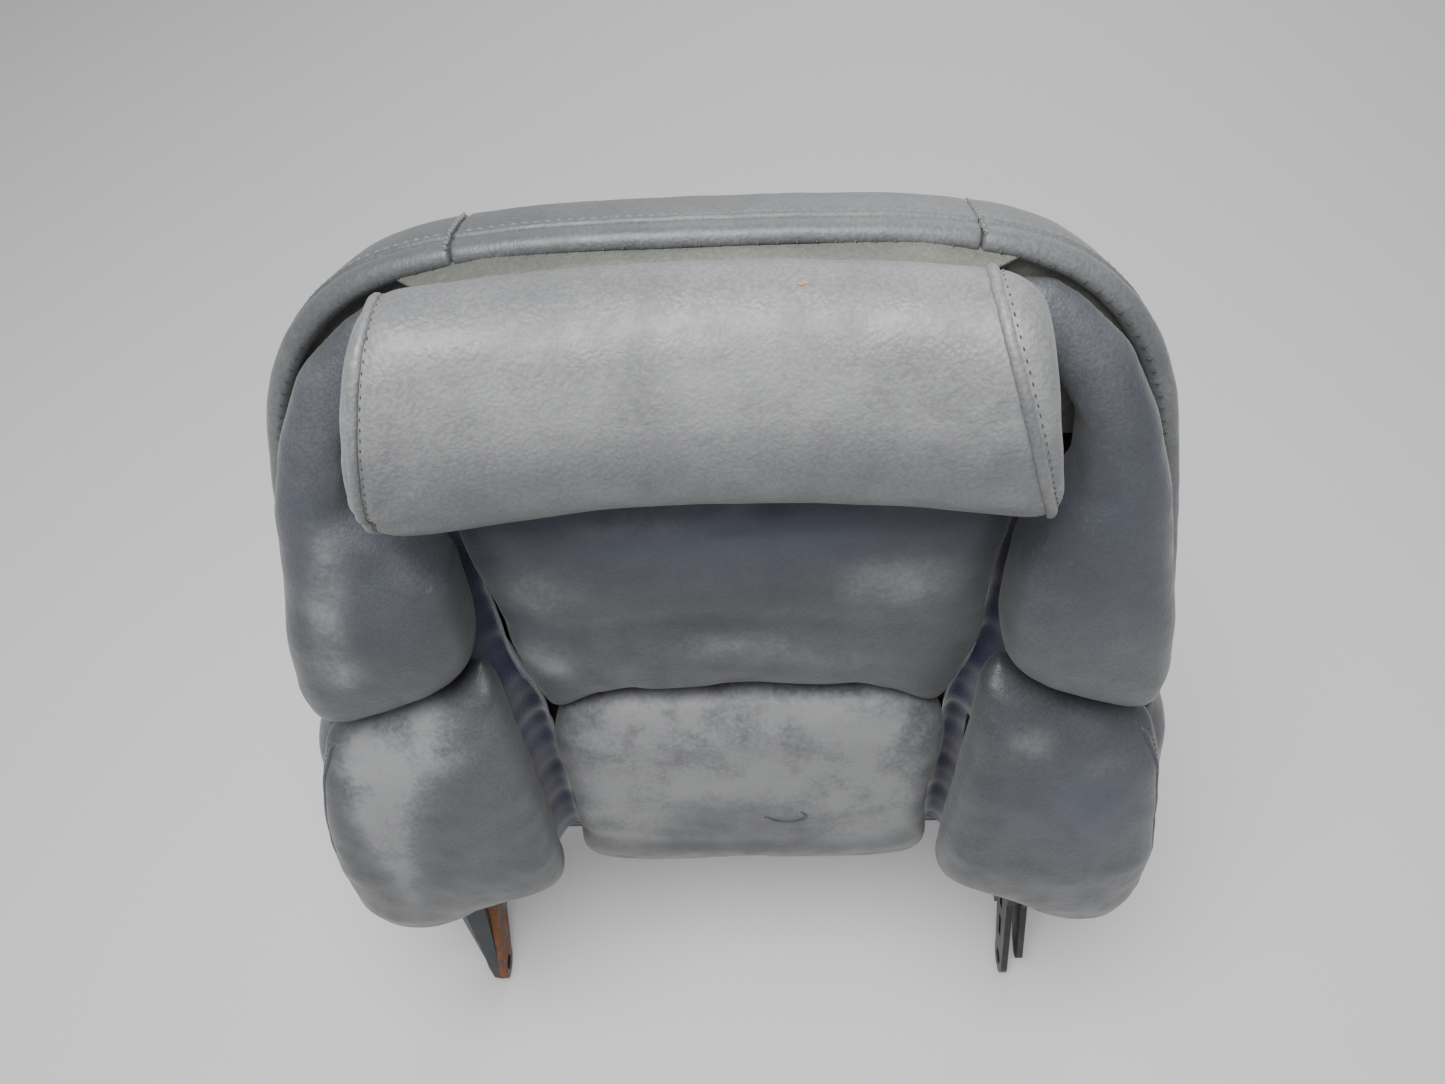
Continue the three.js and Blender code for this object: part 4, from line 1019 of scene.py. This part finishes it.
# The lining's section in the middle, from its foot to the lip that turns forward onto the headrest,
# its depth at both sides, and how far it stays inside the rim's edge.
LINING_SECTION = [
    (-13, 577), (-13.2, 615), (-13.5, 650), (-14.5, 672), (-16.5, 684), (-20, 689), (-26, 690),
    (-34, 687),
]
LINING_SIDE_Y = -13.2
LINING_INSET = 5
ROOF_Z = 681
CROWN_FOOT_Z = 400  # the edge's half width only shrinks with height above this
edge_heights, edge_halves = np.array(BACK_EDGE, float).T
crown = edge_heights[::-1] > CROWN_FOOT_Z
crown_halves = edge_halves[::-1][crown]
crown_heights = edge_heights[::-1][crown]
lining_rows = []
for _, y, z in catmull([(0, y, z) for y, z in LINING_SECTION], 40):
    half = np.interp(min(z, ROOF_Z), edge_heights, edge_halves) - LINING_INSET
    row = []
    for u in np.linspace(-1, 1, 60):
        roof = np.interp(abs(half * u), crown_halves, crown_heights) - LINING_INSET
        lip = 1 - smoothstep(0.78, 1.0, abs(u))
        depth = LINING_SIDE_Y + (y - LINING_SIDE_Y) * lip
        row.append((half * u, depth, min(z, roof)))
    lining_rows.append(row)
lining = quilted("lining_cover", lining_rows, HIDE_LINING_LIT, "back_frame",
                 seed=21, thickness=1.6)
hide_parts("front_lining")

# The flank runs from under the bolster's welt to the rim's rear edge, and draws in at both ends.
FLANK_HEIGHTS = np.linspace(150, 376, 44)
FLANK_FRONT_Y = -52
FLANK_REAR_Y = 11
FLANK_OUT = 3.4
for side, name in ((-1, "left"), (1, "right")):
    rows = []
    for z in FLANK_HEIGHTS:
        u = np.linspace(0, 1, 20)
        ends = smoothstep(150, 176, z) * (1 - smoothstep(340, 378, z))
        rear = np.interp(z, edge_heights, edge_halves) + FLANK_OUT
        # It rounds in behind the welt, bulges in the middle and narrows at both ends.
        x = rear - 8 * (1 - u) ** 1.5 - 9 * (1 - u) ** 5
        x = x + (1 + 3.5 * ends) * np.sin(math.pi * u) - 3 * (1 - ends)
        front = FLANK_FRONT_Y + 14 * (1 - ends)
        y = front + (FLANK_REAR_Y - 3 * (1 - ends) - front) * u
        rows.append(np.stack([side * x, y, np.full(len(u), z)], 1))
    flank = quilted(f"{name}_flank_cover", rows, HIDE_SMOOTH, f"{name}_bolster",
                    seed=24 + side, thickness=2.2)
    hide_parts(f"{name}_bolster_side_panel")

# The gusset is a fold of cloth between the middle cushions and the side: its inner edge's half
# distance from the middle at each height, and its section as steps outward and depths.
GUSSET_ROWS = [
    (212, 113), (260, 114.5), (310, 114.5), (360, 116), (398, 118), (425, 126), (462, 129), (540, 129),
]
GUSSET_SECTION = [(0.6, -30), (1.6, -26), (2.6, -21), (4.0, -17), (7.0, -13), (11.0, -11), (15.0, -13),
                  (18.5, -17), (22.0, -24), (25.0, -31)]


KINK_Z = 352  # one deeper pleat
GUSSET_THICKNESS = 0.0006  # metres
for side, name in ((-1, "left"), (1, "right")):
    rows = catmull([(half, 0, z) for z, half in GUSSET_ROWS], 70)
    points = []
    for half, _, z in rows:
        # Two sets of small pleats.
        pleat = 0.9 * math.sin(z / 6.5) + 0.5 * math.sin(z / 3.1 + 1)
        pleat += 2.2 * math.exp(-((z - KINK_Z) / 6) ** 2)
        for reach, y in GUSSET_SECTION:
            points.append((INSERT_X + side * (half + reach), y + pleat * min(reach / 3, 1), z))
    strip = mesh_piece(f"{name}_gusset_cloth", points,
                       grid_faces(len(rows), len(GUSSET_SECTION), False), CLOTH, "back_frame")
    apply_modifier(strip, "SUBSURF", levels=1)
    apply_modifier(strip, "SOLIDIFY", thickness=GUSSET_THICKNESS, offset=0.0)
    dress(strip, CLOTH, "back_frame")
    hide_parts(f"{name}_gusset")
    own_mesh(strip)

# ---- floor, light, camera --------------------------------------------------------------------------

bpy.ops.mesh.primitive_plane_add(size=12, location=(0, 0, FLOOR_Z))
floor = bpy.context.object
floor.name = "floor"
paving = Nodes("floor")
floor.data.materials.append(paving.finish((0.62, 0.62, 0.61, 1), 0.9))


def area_light(name, place, target, size, energy):
    lamp = bpy.data.lights.new(name, "AREA")
    lamp.shape = "DISK"
    lamp.size = size
    lamp.energy = energy
    holder = new_object(name, lamp)
    holder.location = place
    holder.rotation_euler = (Vector(target) - Vector(place)).to_track_quat("-Z", "Y").to_euler()


area_light("sky", (-0.12, -0.22, 1.85), (0, 0.0, 0.5), size=1.0, energy=46)
area_light("fill", (0.7, -1.8, 1.5), (0, 0, 0.3), size=1.6, energy=6)
area_light("rear", (0.4, 1.9, 1.2), (0, 0.1, 0.4), size=1.6, energy=12)

SKY_COLOR = (0.93, 0.95, 1.0, 1)
SKY_STRENGTH = 0.32
sky = bpy.data.worlds.new("sky")
sky.use_nodes = True
backdrop = sky.node_tree.nodes["Background"]
backdrop.inputs["Color"].default_value = SKY_COLOR
backdrop.inputs["Strength"].default_value = SKY_STRENGTH
bpy.context.scene.world = sky

CAMERA_PLACE = Vector((0.0228, -0.2322, 0.9919))
CAMERA_RIGHT = Vector((0.998878, -0.000658, -0.047350))
CAMERA_DOWN = Vector((-0.026312, -0.839045, -0.543426))
CAMERA_AHEAD = Vector((-0.039371, 0.544062, -0.838121))
SENSOR_WIDTH = 36  # millimetres
FOCAL_LENGTH = 28.85
lens = bpy.data.cameras.new("camera")
lens.sensor_width = SENSOR_WIDTH
lens.lens = FOCAL_LENGTH
camera = new_object("camera", lens)
axes = Matrix((CAMERA_RIGHT, -CAMERA_DOWN, -CAMERA_AHEAD)).transposed()
camera.matrix_world = Matrix.Translation(CAMERA_PLACE) @ axes.to_4x4()
bpy.context.scene.camera = camera
